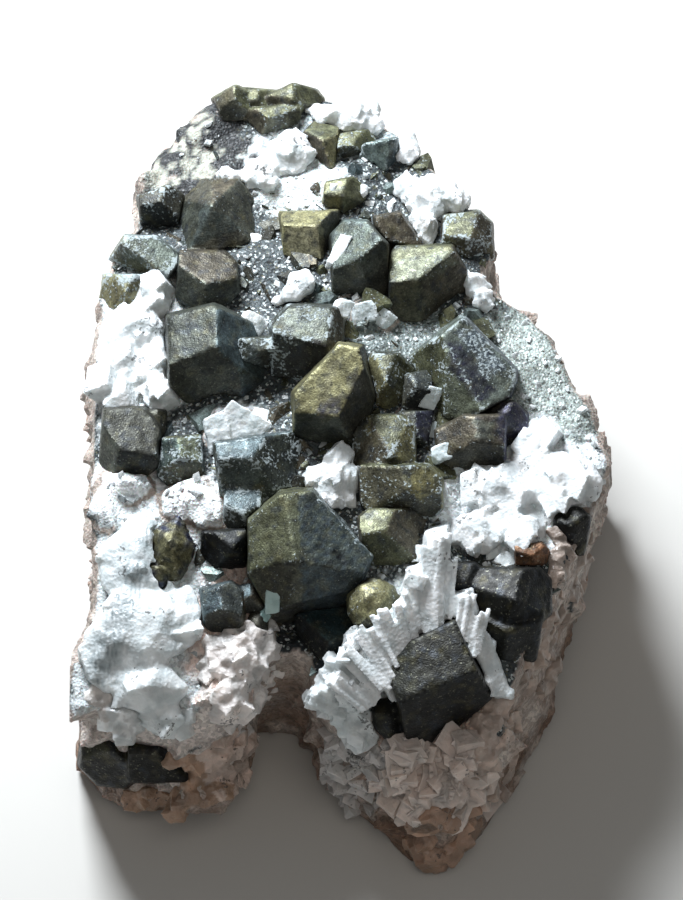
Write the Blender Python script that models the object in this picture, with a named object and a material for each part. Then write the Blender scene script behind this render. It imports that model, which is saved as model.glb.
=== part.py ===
"""A hand specimen of tetrahedrite: dark crystals and white calcite on a block of vein rock.

The block lies on a flat broken foot at z = 0. +X runs to the right, +Y runs away from the front
edge, +Z is up, and the origin is on the foot, under the middle of the specimen.

The face that carries the crystals is best seen from the front and 56 degrees above the horizon.
The place of each crystal is measured on a sheet held square to that line of sight: millimetres
across, to the right, and millimetres along, towards the far end.
"""

import math

import bmesh
import bpy
from mathutils import Vector, geometry, noise
from mathutils.bvhtree import BVHTree

MM = 0.001

# Room left between neighbouring pieces, and between a piece and the block
GAP = 0.3
BLOCK_GAP = 0.345

# The line of sight that the places are measured on
SIGHT_RISE = math.radians(56)
SIGHT_LENGTH = 900.0
SHEET_CENTRE = Vector((0.0, 0.0, 25.0))
ACROSS = Vector((1.0, 0.0, 0.0))
ALONG = Vector((0.0, math.sin(SIGHT_RISE), math.cos(SIGHT_RISE)))
TOWARDS = Vector((0.0, -math.cos(SIGHT_RISE), math.sin(SIGHT_RISE)))

# The block's top: a broad crest, a slope to the front, two drooping front feet, and a hollow
# at the head of the recess between them
EDGE_HEIGHT = 33.5
CREST_HEIGHT = 4.0
CREST_AT = 5.0
CREST_REACH = (24.0, 38.0)
FRONT_SLOPE = 0.0019
TOE_FROM = -34.0
TOE_CURVE = 1.5
LEFT_TOE_DROOP = 0.12
RIGHT_TOE_DROOP = 0.25
RIGHT_TOE_FROM = -5.0
HOLLOW_AT = (-5.0, -30.0)
HOLLOW_REACH = (8.0, 7.0)
HOLLOW_DEPTH = 6.0

# The block's net of points, and its bumps as pairs of size and height
CELL = 4.2
NET_ROWS = 20
NET_COLUMNS = 14
EDGE_CLEARANCE = 2.5
WALL_RINGS = 5
TOP_BUMPS = ((7.0, 1.6), (3.4, 0.9))
WALL_BUMP = (4.0, 0.8)
WALL_BULGE = 0.5
BULGE_CHANGE = (9.0, 1.8)

# How far a crystal or a lump is rooted in the rock, and how crystals' edge-on sides stand
ROOT = 3.0
CLEAR_OF_FOOT = 1.0
LUMP_ROOT = 1.8
SIDE_TILT = 86.0
BLANK = 120.0

# Where a place lies just outside the block, the nearest ground is found by stepping inwards
INWARD_STEP = 0.01
INWARD_STEPS = 12
BESIDE = 3.0
SAME_GROUND = 8.0

# Cleavage blades: their broad face, the step along one side, their taper and their two ends
BLADE_TOP_TILT = 10.0
BLADE_STEP_TILT = 30.0
TAPER = 6.0
NEAR_END = (168.0, 84.0)
FAR_END = (16.0, 82.0)

# Lumps and rounded grains
BIG_LUMP = 12.0
BIG_BALL = 2.5
BALL_FULLNESS = 1.04
LUMP_ROUGHNESS = 0.35
LUMP_WAVES = 1.9
DEEPEST_CUT = 0.75
LEAST_SLOPE = 0.62

# Points this close to a plane count as on it. Points this close to each other, in millimetres,
# are merged, and so are faces that lie within this many degrees of one plane
ON_PLANE = 1e-7
SAME_POINT = 0.002
SHORT_EDGE = 0.001
FLAT_WITHIN = 1.5

# Plan of the block, anticlockwise from the tip of the right foot, in millimetres:
# edge of the top (x, y), and the edge of the foot below it (x, y)
PLAN = (
    # right side
    ((15.1, -49.7), (13.7, -54.0)),
    ((17.9, -46.9), (19.7, -46.8)),
    ((22.0, -41.3), (23.1, -40.2)),
    ((24.8, -35.6), (27.3, -32.6)),
    ((28.3, -28.5), (29.4, -25.9)),
    ((32.0, -20.0), (31.1, -16.6)),
    ((35.0, -13.0), (33.4, -4.9)),
    ((36.6, -8.6), (35.9, 4.8)),
    ((34.8, -3.5), (36.3, 8.5)),
    ((34.2, 0.5), (35.5, 13.0)),
    ((32.6, 3.0), (33.0, 16.0)),
    ((30.2, 9.0), (30.5, 19.0)),
    ((28.3, 13.0), (28.0, 22.0)),
    ((25.6, 16.8), (25.5, 24.5)),
    ((20.8, 19.2), (22.5, 27.0)),
    ((19.4, 23.0), (21.5, 31.0)),
    ((20.9, 29.0), (20.5, 35.0)),
    ((19.3, 32.5), (19.0, 39.0)),
    ((15.9, 36.0), (16.5, 43.0)),
    ((10.4, 44.6), (11.5, 48.5)),
    # far end
    ((5.3, 49.6), (6.0, 54.0)),
    ((1.2, 52.3), (1.0, 57.0)),
    ((-5.0, 54.0), (-5.0, 59.5)),
    ((-12.0, 54.3), (-11.0, 60.0)),
    ((-17.0, 54.0), (-17.0, 58.5)),
    ((-19.7, 52.5), (-21.0, 55.5)),
    # left side
    ((-21.8, 50.0), (-23.5, 51.5)),
    ((-25.2, 44.6), (-26.5, 46.0)),
    ((-27.7, 40.4), (-28.5, 41.0)),
    ((-28.1, 35.8), (-29.0, 36.0)),
    ((-29.0, 30.5), (-30.0, 31.0)),
    ((-31.0, 27.0), (-31.5, 26.5)),
    ((-33.0, 19.3), (-33.0, 19.0)),
    ((-34.0, 12.0), (-33.8, 11.0)),
    ((-34.0, 2.5), (-33.8, 2.0)),
    ((-33.8, -6.0), (-33.6, -7.0)),
    ((-33.6, -16.0), (-33.4, -17.0)),
    ((-33.2, -24.0), (-33.6, -25.0)),
    ((-33.4, -31.5), (-34.0, -32.0)),
    ((-34.6, -37.0), (-35.8, -37.0)),
    # left foot
    ((-34.9, -41.6), (-32.5, -41.6)),
    ((-29.5, -44.0), (-28.0, -43.4)),
    ((-22.4, -44.6), (-22.0, -43.8)),
    ((-15.6, -43.0), (-16.0, -42.4)),
    ((-12.0, -40.2), (-14.2, -37.0)),
    ((-10.6, -37.5), (-14.4, -33.2)),
    # recess between the feet
    ((-9.0, -35.5), (-13.2, -30.8)),
    ((-6.0, -35.2), (-8.5, -30.5)),
    ((-3.8, -36.2), (-4.8, -31.5)),
    # right foot
    ((-3.4, -39.5), (-3.4, -34.5)),
    ((-1.4, -43.0), (-1.8, -38.5)),
    ((3.0, -45.5), (1.8, -43.5)),
    ((7.5, -47.2), (5.4, -46.2)),
    ((10.0, -48.2), (7.6, -50.0)),
    ((12.7, -49.4), (11.4, -52.4)),
)

# Finishes: name, colour, roughness and how metallic they are
ROCK = ("vein_rock", (0.62, 0.60, 0.55), 0.85, 0.0)
FAHLORE = ("tetrahedrite", (0.10, 0.09, 0.07), 0.38, 0.75)
SPAR = ("calcite", (0.88, 0.90, 0.90), 0.45, 0.0)
PYRITE = ("pyrite", (0.45, 0.38, 0.18), 0.40, 0.9)
RUST = ("iron_stain", (0.35, 0.17, 0.08), 0.60, 0.0)

FINISHES = {"pyrite_patch": PYRITE, "iron_stained_crystal": RUST}


def clear_scene():
    for thing in list(bpy.data.objects):
        bpy.data.objects.remove(thing, do_unlink=True)


def make_collection(name):
    group = bpy.data.collections.new(name)
    bpy.context.scene.collection.children.link(group)
    return group


def make_material(name, colour, roughness, metallic):
    material = bpy.data.materials.get(name)
    if material is None:
        material = bpy.data.materials.new(name)
        material.use_nodes = True
        shader = material.node_tree.nodes["Principled BSDF"]
        shader.inputs["Base Color"].default_value = (*colour, 1.0)
        shader.inputs["Roughness"].default_value = roughness
        shader.inputs["Metallic"].default_value = metallic
    return material


def make_object(name, mesh_code, group, finish=None):
    mesh = bpy.data.meshes.new(name)
    mesh_code.to_mesh(mesh)
    mesh_code.free()
    thing = bpy.data.objects.new(name, mesh)
    group.objects.link(thing)
    if finish:
        mesh.materials.append(make_material(*finish))
    return thing


def hill(x, y, centre, reach):
    """A smooth rise, one high at its centre and gone beyond its reach."""
    return math.exp(-(((x - centre[0]) / reach[0]) ** 2) - ((y - centre[1]) / reach[1]) ** 2)


def top_height(x, y):
    """Height of the block's top over a point of its plan, in millimetres."""
    crest = CREST_HEIGHT * hill(x, y, (0.0, CREST_AT), CREST_REACH)
    hollow = HOLLOW_DEPTH * hill(x, y, HOLLOW_AT, HOLLOW_REACH)
    slope = FRONT_SLOPE * max(0.0, CREST_AT - y) ** 2
    toe = RIGHT_TOE_DROOP if x > RIGHT_TOE_FROM else LEFT_TOE_DROOP
    droop = toe * max(0.0, TOE_FROM - y) ** TOE_CURVE
    return EDGE_HEIGHT + crest - hollow - slope - droop


def rough(point, size, height):
    """Uneven ground: bumps of about a size and up to a height, in millimetres."""
    return noise.noise(point / size) * height


def round_the_plan():
    """Points every CELL along the top's edge, each with the foot's point below it."""
    stations = []
    for index, (edge, foot) in enumerate(PLAN):
        next_edge, next_foot = PLAN[(index + 1) % len(PLAN)]
        start, end = Vector(edge), Vector(next_edge)
        steps = max(1, round((end - start).length / CELL))
        for step in range(steps):
            share = step / steps
            stations.append((start.lerp(end, share), Vector(foot).lerp(Vector(next_foot), share)))
    return stations


def top_of_block(edge):
    """The top inside its edge: an even net of points, and the triangles that join them."""
    count = len(edge)
    net = []
    for row in range(-NET_ROWS, NET_ROWS + 1):
        for column in range(-NET_COLUMNS, NET_COLUMNS + 1):
            x = (column + 0.5 * (row % 2)) * CELL
            y = row * CELL
            spot = Vector((x, y))
            away = min((spot - point).length for point in edge)
            if away > EDGE_CLEARANCE:
                net.append(spot)
    loop = [(index, (index + 1) % count) for index in range(count)]
    points, _, faces, _, _, _ = geometry.delaunay_2d_cdt(edge + net, loop, [], 1, 0.001)
    return points, faces


def block_mesh(grow=0.0):
    """The block of rock: its top, its walls drawn down ring by ring, and its flat foot."""
    stations = round_the_plan()
    edge = [station[0] for station in stations]
    count = len(edge)
    points, faces = top_of_block(edge)
    code = bmesh.new()
    rings = [[]]
    for index, point in enumerate(points):
        spot = Vector((point.x, point.y, top_height(point.x, point.y)))
        spot.z += sum(rough(spot, size, height) for size, height in TOP_BUMPS)
        vertex = code.verts.new(spot)
        if index < count:
            rings[0].append(vertex)
    code.verts.ensure_lookup_table()
    for face in faces:
        if len(face) == 3:
            code.faces.new([code.verts[index] for index in face])
    for ring in range(1, WALL_RINGS + 1):
        share = ring / WALL_RINGS
        row = []
        for index, (brink, foot) in enumerate(stations):
            plan = brink.lerp(foot, share)
            ahead = Vector(stations[(index + 1) % count][0]) - brink
            outward = Vector((ahead.y, -ahead.x)).normalized()
            height = rings[0][index].co.z * (1.0 - share)
            if ring < WALL_RINGS:
                spot = Vector((plan.x, plan.y, height))
                belly = WALL_BULGE + rough(spot, *BULGE_CHANGE)
                plan += outward * (belly * math.sin(math.pi * share) + rough(spot, *WALL_BUMP))
            row.append(code.verts.new((plan.x, plan.y, height)))
        rings.append(row)
    for upper, lower in zip(rings, rings[1:]):
        for index in range(count):
            after = (index + 1) % count
            code.faces.new((upper[index], upper[after], lower[after], lower[index]))
    code.faces.new(rings[-1])
    bmesh.ops.triangulate(code, faces=code.faces)
    bmesh.ops.recalc_face_normals(code, faces=code.faces)
    code.normal_update()
    for vertex in code.verts:
        vertex.co += vertex.normal * grow
    bmesh.ops.scale(code, verts=code.verts, vec=(MM, MM, MM))
    return code


def direction(lean, tilt):
    """A face's outward direction, from two angles in degrees: the way it leans on the sheet
    (0 right, 90 towards the far end), and how far it tilts from facing the viewer."""
    lean, tilt = math.radians(lean), math.radians(tilt)
    level = ACROSS * math.cos(lean) + ALONG * math.sin(lean)
    return level * math.sin(tilt) + TOWARDS * math.cos(tilt)


def cut_back(code, point, normal):
    """Cuts off what lies beyond a plane and closes the cut with a face."""
    cut = bmesh.ops.bisect_plane(
        code,
        geom=code.verts[:] + code.edges[:] + code.faces[:],
        dist=ON_PLANE,
        plane_co=point,
        plane_no=normal,
        clear_outer=True,
    )
    rim = [item for item in cut["geom_cut"] if isinstance(item, bmesh.types.BMEdge)]
    if rim:
        bmesh.ops.edgeloop_fill(code, edges=rim)


def polyhedron(planes):
    """A convex solid: a cube cut back to planes, each a point, an outward direction and a shift."""
    code = bmesh.new()
    bmesh.ops.create_cube(code, size=BLANK * MM)
    bmesh.ops.translate(code, verts=code.verts, vec=planes[0][0] * MM)
    for point, normal, shift in planes:
        cut_back(code, (point + normal * shift) * MM, normal)
    bmesh.ops.recalc_face_normals(code, faces=code.faces)
    return code


class Ground:
    """The block's surface, which the crystals and the calcite are set on."""

    def __init__(self, code):
        self.tree = BVHTree.FromBMesh(code)
        self.eye = SHEET_CENTRE + TOWARDS * SIGHT_LENGTH

    def seen(self, across, along):
        """The point of the block seen at a place on the sheet, and the way its surface faces."""
        aim = (SHEET_CENTRE + ACROSS * across + ALONG * along - self.eye).normalized()
        spot, normal, _, _ = self.tree.ray_cast(self.eye * MM, aim)
        return (spot / MM, normal, aim) if spot else None

    def seat(self, place):
        """The point seen at a place, the way the ground faces around it, and the line of sight."""
        across, along = place
        shares = [1.0 - INWARD_STEP * step for step in range(INWARD_STEPS + 1)]
        tries = (self.seen(across * share, along * share) for share in shares)
        spot, facing, aim = next(found for found in tries if found)
        for right, up in ((BESIDE, 0), (-BESIDE, 0), (0, BESIDE), (0, -BESIDE)):
            beside = self.seen(across + right, along + up)
            if beside and (beside[0] - spot).length < SAME_GROUND:
                facing = facing + beside[1]
        return spot, facing.normalized(), aim


def crystal(place, rise, faces, sides):
    """A crystal. Its peak is seen at a place on the sheet and stands a rise above the ground.
    Faces that meet at the peak are given by lean and tilt, and a third number sets a face back.
    Sides, seen edge on, are given by lean and by their reach from the peak."""

    def shape(ground, grow):
        spot, facing, aim = ground.seat(place)
        peak = spot - aim * rise
        planes = []
        for lean, tilt, *back in faces:
            normal = direction(lean, tilt)
            behind = back[0] * normal.dot(TOWARDS) if back else 0.0
            planes.append((peak, normal, grow - behind))
        for lean, reach in sides:
            planes.append((peak, direction(lean, SIDE_TILT), reach + grow))
        planes.append((spot - facing * ROOT, -facing, grow))
        planes.append((Vector((0.0, 0.0, CLEAR_OF_FOOT)), Vector((0.0, 0.0, -1.0)), grow))
        return polyhedron(planes)

    return shape


def blade(place, half_width, half_length, rise, run):
    """A long cleavage blade of calcite, flat on top and stepped down along one side."""

    def shape(ground, grow):
        spot, facing, aim = ground.seat(place)
        peak = spot - aim * rise
        planes = [
            (peak, direction(run + 90, BLADE_TOP_TILT), grow),
            (peak, direction(run - 90, BLADE_STEP_TILT), grow),
            (peak, direction(run + 90 - TAPER, SIDE_TILT), half_width + grow),
            (peak, direction(run - 90 + TAPER, SIDE_TILT), half_width + grow),
            (peak, direction(run + FAR_END[0], FAR_END[1]), half_length + grow),
            (peak, direction(run + NEAR_END[0], NEAR_END[1]), half_length + grow),
            (spot - facing * ROOT, -facing, grow),
        ]
        return polyhedron(planes)

    return shape


def ball(place, radius, rise):
    """A rounded grain whose middle stands a rise above the ground."""

    def shape(ground, grow):
        spot, _, aim = ground.seat(place)
        code = bmesh.new()
        fine = 2 if radius > BIG_BALL else 1
        reach = (radius * BALL_FULLNESS + grow) * MM
        bmesh.ops.create_icosphere(code, subdivisions=fine, radius=reach)
        bmesh.ops.translate(code, verts=code.verts, vec=(spot - aim * rise) * MM)
        return code

    return shape


def lump(place, half_across, half_along, rise):
    """A rough lump of massive calcite, lying on the ground and rooted in it."""

    def shape(ground, grow):
        spot, facing, _ = ground.seat(place)
        right = (ACROSS - facing * facing.dot(ACROSS)).normalized()
        upward = facing.cross(right)
        stretch = 1.0 / max(LEAST_SLOPE, abs(upward.dot(ALONG)))
        big = half_across + half_along > BIG_LUMP
        code = bmesh.new()
        bmesh.ops.create_icosphere(code, subdivisions=2 if big else 1, radius=1.0)
        cut_back(code, Vector((0.0, 0.0, -min(DEEPEST_CUT, LUMP_ROOT / rise))), (0.0, 0.0, -1.0))
        for vertex in code.verts:
            unit = vertex.co.copy()
            seed = unit * LUMP_WAVES + Vector((place[0], place[1], 0.0))
            size = 1.0 + noise.noise(seed) * LUMP_ROUGHNESS
            reach = (
                right * (unit.x * half_across * size)
                + upward * (unit.y * half_along * stretch * size)
                + facing * (unit.z * rise * (size if unit.z > 0.0 else 1.0))
            )
            vertex.co = (spot + reach + reach.normalized() * grow) * MM
        bmesh.ops.recalc_face_normals(code, faces=code.faces)
        return code

    return shape


CRYSTALS = {
    "tetrahedrite_far_crest": (
        crystal((-15.4, 50.3), 5.0, faces=((150, 45), (25, 50), (275, 40)),
                sides=((200, 2.4), (120, 1.5), (60, 1.7), (0, 1.9), (275, 5.0), (235, 3.9))),
        crystal((-12.0, 49.3), 3.4, faces=((110, 40), (20, 45), (265, 35)),
                sides=((165, 2.1), (85, 1.3), (350, 2.4), (265, 2.6), (220, 2.5))),
        crystal((-6.9, 49.2), 5.0, faces=((120, 35), (30, 45), (215, 35), (300, 50)),
                sides=((185, 3.3), (115, 1.9), (75, 2.1), (38, 3.3), (350, 3.9), (290, 3.6),
                       (235, 3.6))),
        crystal((-10.2, 46.1), 3.2, faces=((90, 35), (200, 40), (300, 40)),
                sides=((190, 3.5), (95, 1.5), (350, 4.2), (265, 2.4), (225, 3.1), (310, 3.3))),
    ),
    "tetrahedrite_olive_blade": (
        crystal((-2.7, 43.1), 5.5, faces=((200, 55), (10, 35), (90, 60)),
                sides=((135, 2.4), (200, 2.8), (75, 2.1), (355, 1.9), (285, 5.3), (225, 4.2),
                       (320, 3.9))),
    ),
    "tetrahedrite_grained_ledge": (
        crystal((1.7, 42.3), 4.2, faces=((95, 40), (275, 50), (20, 45)),
                sides=((175, 2.6), (100, 1.9), (40, 2.8), (350, 3.1), (280, 2.5), (225, 3.1))),
    ),
    "tetrahedrite_pale_wedge": (
        crystal((6.5, 42.1), 4.4, faces=((215, 32), (340, 60)),
                sides=((0, 1.0), (100, 1.0), (150, 3.1), (190, 4.0), (262, 4.6), (225, 4.7),
                       (305, 3.1))),
    ),
    "tetrahedrite_olive_knob": (
        crystal((0.2, 35.3), 3.8, faces=((110, 35), (20, 45), (240, 40), (320, 45)),
                sides=((170, 2.5), (100, 2.2), (50, 2.8), (350, 3.1), (280, 2.6), (225, 2.9))),
    ),
    "tetrahedrite_upper_left": (
        crystal((-18.0, 34.1), 7.2, faces=((290, 15), (35, 50), (160, 60), (91, 59), (132, 65)),
                sides=((180, 4.4), (140, 4.7), (90, 3.3), (40, 4.7), (0, 5.6), (310, 7.0),
                       (270, 7.4), (222, 7.2))),
        crystal((-18.8, 23.1), 5.2, faces=((85, 45), (200, 38), (310, 30)),
                sides=((175, 3.8), (262, 3.6), (5, 4.2), (90, 4.3), (228, 3.8), (318, 3.8),
                       (50, 4.7))),
    ),
    "tetrahedrite_left_edge_far": (
        crystal((-25.2, 34.5), 5.0, faces=((120, 40), (20, 45), (260, 40)),
                sides=((185, 2.8), (110, 1.7), (55, 2.4), (350, 2.6), (285, 4.3), (240, 3.6))),
    ),
    "tetrahedrite_left_edge": (
        crystal((-27.6, 26.7), 5.2, faces=((60, 32), (235, 55)),
                sides=((145, 3.6), (325, 4.2), (55, 3.1), (235, 2.2), (90, 2.8), (185, 5.0))),
        crystal((-30.1, 22.0), 4.6, faces=((80, 30), (250, 40), (180, 50), (0, 45)),
                sides=((170, 3.1), (10, 2.8), (90, 2.2), (262, 3.9), (215, 3.3), (320, 3.3))),
    ),
    "tetrahedrite_olive_square": (
        crystal((-3.4, 31.1), 6.0, faces=((232, 16), (0, 60), (95, 58)),
                sides=((183, 4.7), (268, 5.8), (355, 2.4), (92, 1.9), (315, 5.0), (222, 7.2))),
    ),
    "tetrahedrite_centre_far": (
        crystal((2.2, 26.4), 8.0, faces=((133, 46), (262, 41), (307, 36)),
                sides=((180, 3.2), (225, 5.1), (270, 5.6), (0, 4.0), (90, 5.1), (45, 4.4),
                       (135, 4.7), (315, 5.8))),
    ),
    "tetrahedrite_brown_table": (
        crystal((6.2, 29.2), 5.0, faces=((50, 20), (200, 55), (265, 62)),
                sides=((35, 3.6), (270, 2.8), (180, 1.3), (100, 3.3), (0, 4.7), (320, 4.7))),
    ),
    "tetrahedrite_right_far": (
        crystal((10.9, 23.9), 8.6, faces=((108, 43), (261, 26), (329, 43)),
                sides=((180, 4.0), (265, 7.8), (0, 6.1), (90, 4.2), (320, 7.2), (225, 7.2),
                       (30, 5.8), (140, 5.0))),
    ),
    "tetrahedrite_right_rim": (
        crystal((17.9, 29.5), 5.4, faces=((100, 42), (20, 50), (235, 28), (320, 42)),
                sides=((175, 3.6), (5, 2.8), (95, 3.3), (262, 5.0), (48, 3.3), (312, 3.9),
                       (225, 4.2))),
    ),
    "tetrahedrite_left_hero": (
        crystal((-17.4, 14.3), 11.0, faces=((127, 36), (22, 55), (274, 37), (318, 46, -2.0)),
                sides=((180, 6.3), (105, 5.4), (65, 4.6), (20, 5.0), (330, 8.6), (270, 10.0),
                       (225, 7.9), (300, 10.3))),
    ),
    "tetrahedrite_crusted": (
        crystal((-2.2, 14.5), 8.6, faces=((100, 32), (240, 42), (10, 60)),
                sides=((180, 7.0), (0, 1.9), (90, 5.0), (270, 6.4), (225, 8.6), (135, 7.0))),
        crystal((-11.1, 13.9), 7.4, faces=((195, 22), (80, 40), (285, 62)),
                sides=((180, 3.1), (0, 3.3), (90, 1.4), (265, 7.5), (300, 7.0), (225, 5.3))),
    ),
    "tetrahedrite_brassy_blade": (
        crystal((-0.5, 4.6), 8.2, faces=((140, 14), (335, 52), (255, 55)),
                sides=((180, 5.7), (260, 3.2), (345, 3.6), (80, 9.6), (137, 6.4), (15, 5.1))),
    ),
    "tetrahedrite_brassy_round": (
        crystal((6.2, 9.2), 5.6, faces=((90, 28), (230, 35), (320, 40), (175, 50), (10, 50)),
                sides=((180, 3.5), (0, 3.5), (90, 3.9), (270, 3.9), (45, 3.8), (135, 3.9),
                       (225, 3.8), (315, 3.8))),
    ),
    "tetrahedrite_right_hero": (
        crystal((14.5, 13.9), 9.0, faces=((45, 22), (200, 27), (187, 53)),
                sides=((180, 4.2), (127, 1.9), (45, 4.7), (0, 9.5), (300, 9.7), (265, 9.2),
                       (215, 5.8), (75, 4.6), (340, 10.3))),
    ),
    "tetrahedrite_right_group": (
        crystal((19.0, 1.4), 6.4, faces=((150, 32), (55, 30), (275, 42)),
                sides=((180, 5.3), (120, 3.6), (90, 3.1), (0, 3.5), (270, 4.4), (225, 5.3),
                       (315, 4.4))),
        crystal((23.0, 3.9), 5.0, faces=((120, 35), (300, 40), (15, 45)),
                sides=((180, 1.9), (90, 2.5), (0, 2.6), (270, 3.3), (45, 2.5), (315, 3.1))),
    ),
    "tetrahedrite_small_dark": (
        crystal((10.5, 8.6), 5.0, faces=((165, 40), (290, 38), (60, 45)),
                sides=((172, 1.5), (8, 1.9), (100, 1.9), (275, 4.3), (312, 3.3), (50, 2.4))),
        crystal((10.2, 2.2), 3.4, faces=((140, 35), (30, 40), (265, 40)),
                sides=((185, 1.7), (350, 1.7), (95, 2.9), (270, 1.7), (225, 1.9))),
    ),
    "tetrahedrite_centre": (
        crystal((7.0, -0.7), 6.2, faces=((92, 35), (160, 38), (275, 52), (20, 42)),
                sides=((180, 5.6), (0, 2.9), (90, 5.0), (270, 3.2), (225, 5.3), (45, 4.7),
                       (315, 3.9), (135, 5.6))),
        crystal((3.4, 2.8), 4.4, faces=((125, 35), (265, 30), (20, 45)),
                sides=((180, 1.8), (90, 1.7), (0, 2.2), (270, 3.6))),
        crystal((9.5, -5.6), 5.4, faces=((60, 24), (172, 24), (275, 45)),
                sides=((180, 6.4), (0, 4.2), (90, 3.1), (270, 3.3), (45, 3.9), (225, 5.8),
                       (315, 4.7))),
    ),
    "tetrahedrite_ridge_brown": (
        crystal((6.2, -11.4), 5.4, faces=((100, 38), (272, 34), (20, 45)),
                sides=((185, 3.3), (0, 5.8), (90, 2.8), (270, 4.2), (130, 3.6), (225, 4.7),
                       (315, 6.1))),
    ),
    "tetrahedrite_great": (
        crystal((-6.5, -15.3), 11.5, faces=((156, 31), (48, 27), (279, 37), (246, 38),
                                           (282, 66, -8.4)),
                sides=((180, 5.8), (130, 7.6), (95, 8.6), (43, 7.5), (335, 8.9), (295, 10.6),
                       (270, 11.1), (210, 6.0))),
    ),
    "tetrahedrite_ball": (
        ball((4.5, -21.7), 3.6, 3.0),
        ball((4.0, -16.8), 1.8, 1.6),
    ),
    "tetrahedrite_recess": (
        crystal((-1.6, -26.7), 4.0, faces=((80, 40), (200, 45), (300, 45)),
                sides=((190, 3.9), (100, 4.2), (45, 4.7), (350, 3.6), (275, 3.9), (225, 4.4),
                       (315, 4.2))),
    ),
    "tetrahedrite_block": (
        crystal((13.3, -32.8), 9.5, faces=((114, 26), (293, 55), (141, 35, -1.1)),
                sides=((197, 5.4), (115, 6.5), (26, 5.6), (350, 7.0), (268, 7.2), (310, 5.7))),
        crystal((6.5, -37.0), 4.4, faces=((110, 35), (230, 40), (320, 40)),
                sides=((185, 1.8), (0, 2.8), (100, 2.1), (270, 2.8), (225, 2.2))),
    ),
    "tetrahedrite_right_shoulder": (
        crystal((17.4, -18.5), 4.0, faces=((120, 35), (20, 35), (270, 42)),
                sides=((180, 2.4), (90, 2.4), (0, 2.4), (270, 2.2), (225, 2.4), (315, 2.4),
                       (135, 2.5), (45, 2.5))),
        crystal((24.1, -20.9), 6.0, faces=((110, 42), (205, 35), (300, 38), (20, 50)),
                sides=((180, 5.4), (90, 3.8), (0, 4.6), (270, 3.3), (225, 5.3), (315, 4.4),
                       (45, 5.0))),
        crystal((23.0, -25.3), 4.0, faces=((90, 40), (220, 45), (310, 45)),
                sides=((190, 2.5), (350, 4.2), (100, 2.5), (270, 3.6), (225, 3.3))),
    ),
    "tetrahedrite_right_edge": (
        crystal((32.0, -10.6), 3.4, faces=((100, 40), (225, 40), (330, 45)),
                sides=((175, 2.2), (350, 2.2), (95, 2.2), (275, 3.8), (50, 2.5), (225, 3.3))),
    ),
    "tetrahedrite_left_dark": (
        crystal((-30.8, 0.0), 5.4, faces=((80, 32), (265, 36), (195, 55)),
                sides=((175, 2.5), (0, 5.0), (90, 5.3), (268, 3.9), (310, 4.7), (45, 5.8))),
        crystal((-26.1, 4.0), 3.6, faces=((120, 40), (20, 45), (260, 40)),
                sides=((180, 1.4), (0, 1.4), (90, 1.4), (270, 1.7))),
    ),
    "tetrahedrite_teal": (
        crystal((-22.4, -1.0), 4.8, faces=((60, 32), (150, 38), (270, 32)),
                sides=((172, 2.6), (8, 2.8), (95, 2.5), (262, 4.4), (225, 3.8), (315, 4.2))),
    ),
    "tetrahedrite_dusted": (
        crystal((-12.4, -1.1), 5.8, faces=((95, 38), (265, 22), (15, 42)),
                sides=((186, 4.7), (350, 5.8), (98, 2.4), (262, 5.8), (315, 7.0), (225, 6.4))),
        crystal((-13.7, -8.8), 4.0, faces=((90, 38), (220, 42), (320, 42)),
                sides=((175, 2.5), (5, 2.4), (90, 2.8), (270, 2.8), (225, 2.9), (315, 2.8))),
    ),
    "tetrahedrite_shadowed": (
        crystal((-15.2, -13.6), 5.0, faces=((90, 38), (205, 48), (275, 55), (350, 50)),
                sides=((176, 3.9), (5, 3.3), (95, 2.1), (270, 3.9), (225, 4.4), (315, 3.9))),
    ),
    "tetrahedrite_silvery": (
        crystal((-16.6, -22.0), 5.2, faces=((140, 32), (45, 40), (270, 42)),
                sides=((185, 2.5), (5, 2.5), (105, 2.8), (50, 3.1), (268, 3.6), (225, 3.1),
                       (315, 3.3))),
        crystal((-12.7, -20.4), 3.6, faces=((120, 38), (20, 45), (265, 42)),
                sides=((178, 2.1), (350, 1.9), (100, 1.5), (262, 2.1), (45, 2.1))),
    ),
    "tetrahedrite_foot_speck": (
        crystal((-11.6, -24.3), 2.8, faces=((120, 38), (20, 45), (265, 42)),
                sides=((180, 1.1), (0, 1.1), (90, 1.5), (270, 1.8))),
    ),
    "tetrahedrite_lower_left": (
        crystal((-32.2, -41.4), 4.6, faces=((110, 32), (185, 38), (250, 48), (20, 42)),
                sides=((175, 3.6), (95, 3.9), (350, 3.9), (262, 5.0), (225, 4.6), (50, 4.7),
                       (310, 5.2))),
        crystal((-25.8, -42.0), 4.2, faces=((90, 42), (270, 42), (10, 50)),
                sides=((180, 3.6), (0, 3.9), (90, 2.1), (270, 3.9), (45, 3.6))),
    ),
    "iron_stained_crystal": (
        crystal((26.5, -14.7), 3.4, faces=((90, 35), (230, 30), (330, 45)),
                sides=((185, 2.2), (350, 2.1), (95, 1.5), (268, 2.6), (45, 2.1), (225, 2.6))),
    ),
    "pyrite_patch": (
        lump((-23.6, -14.2), 3.6, 4.7, 4.4), lump((-25.9, -17.8), 2.5, 2.2, 3.4),
    ),
}

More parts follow.
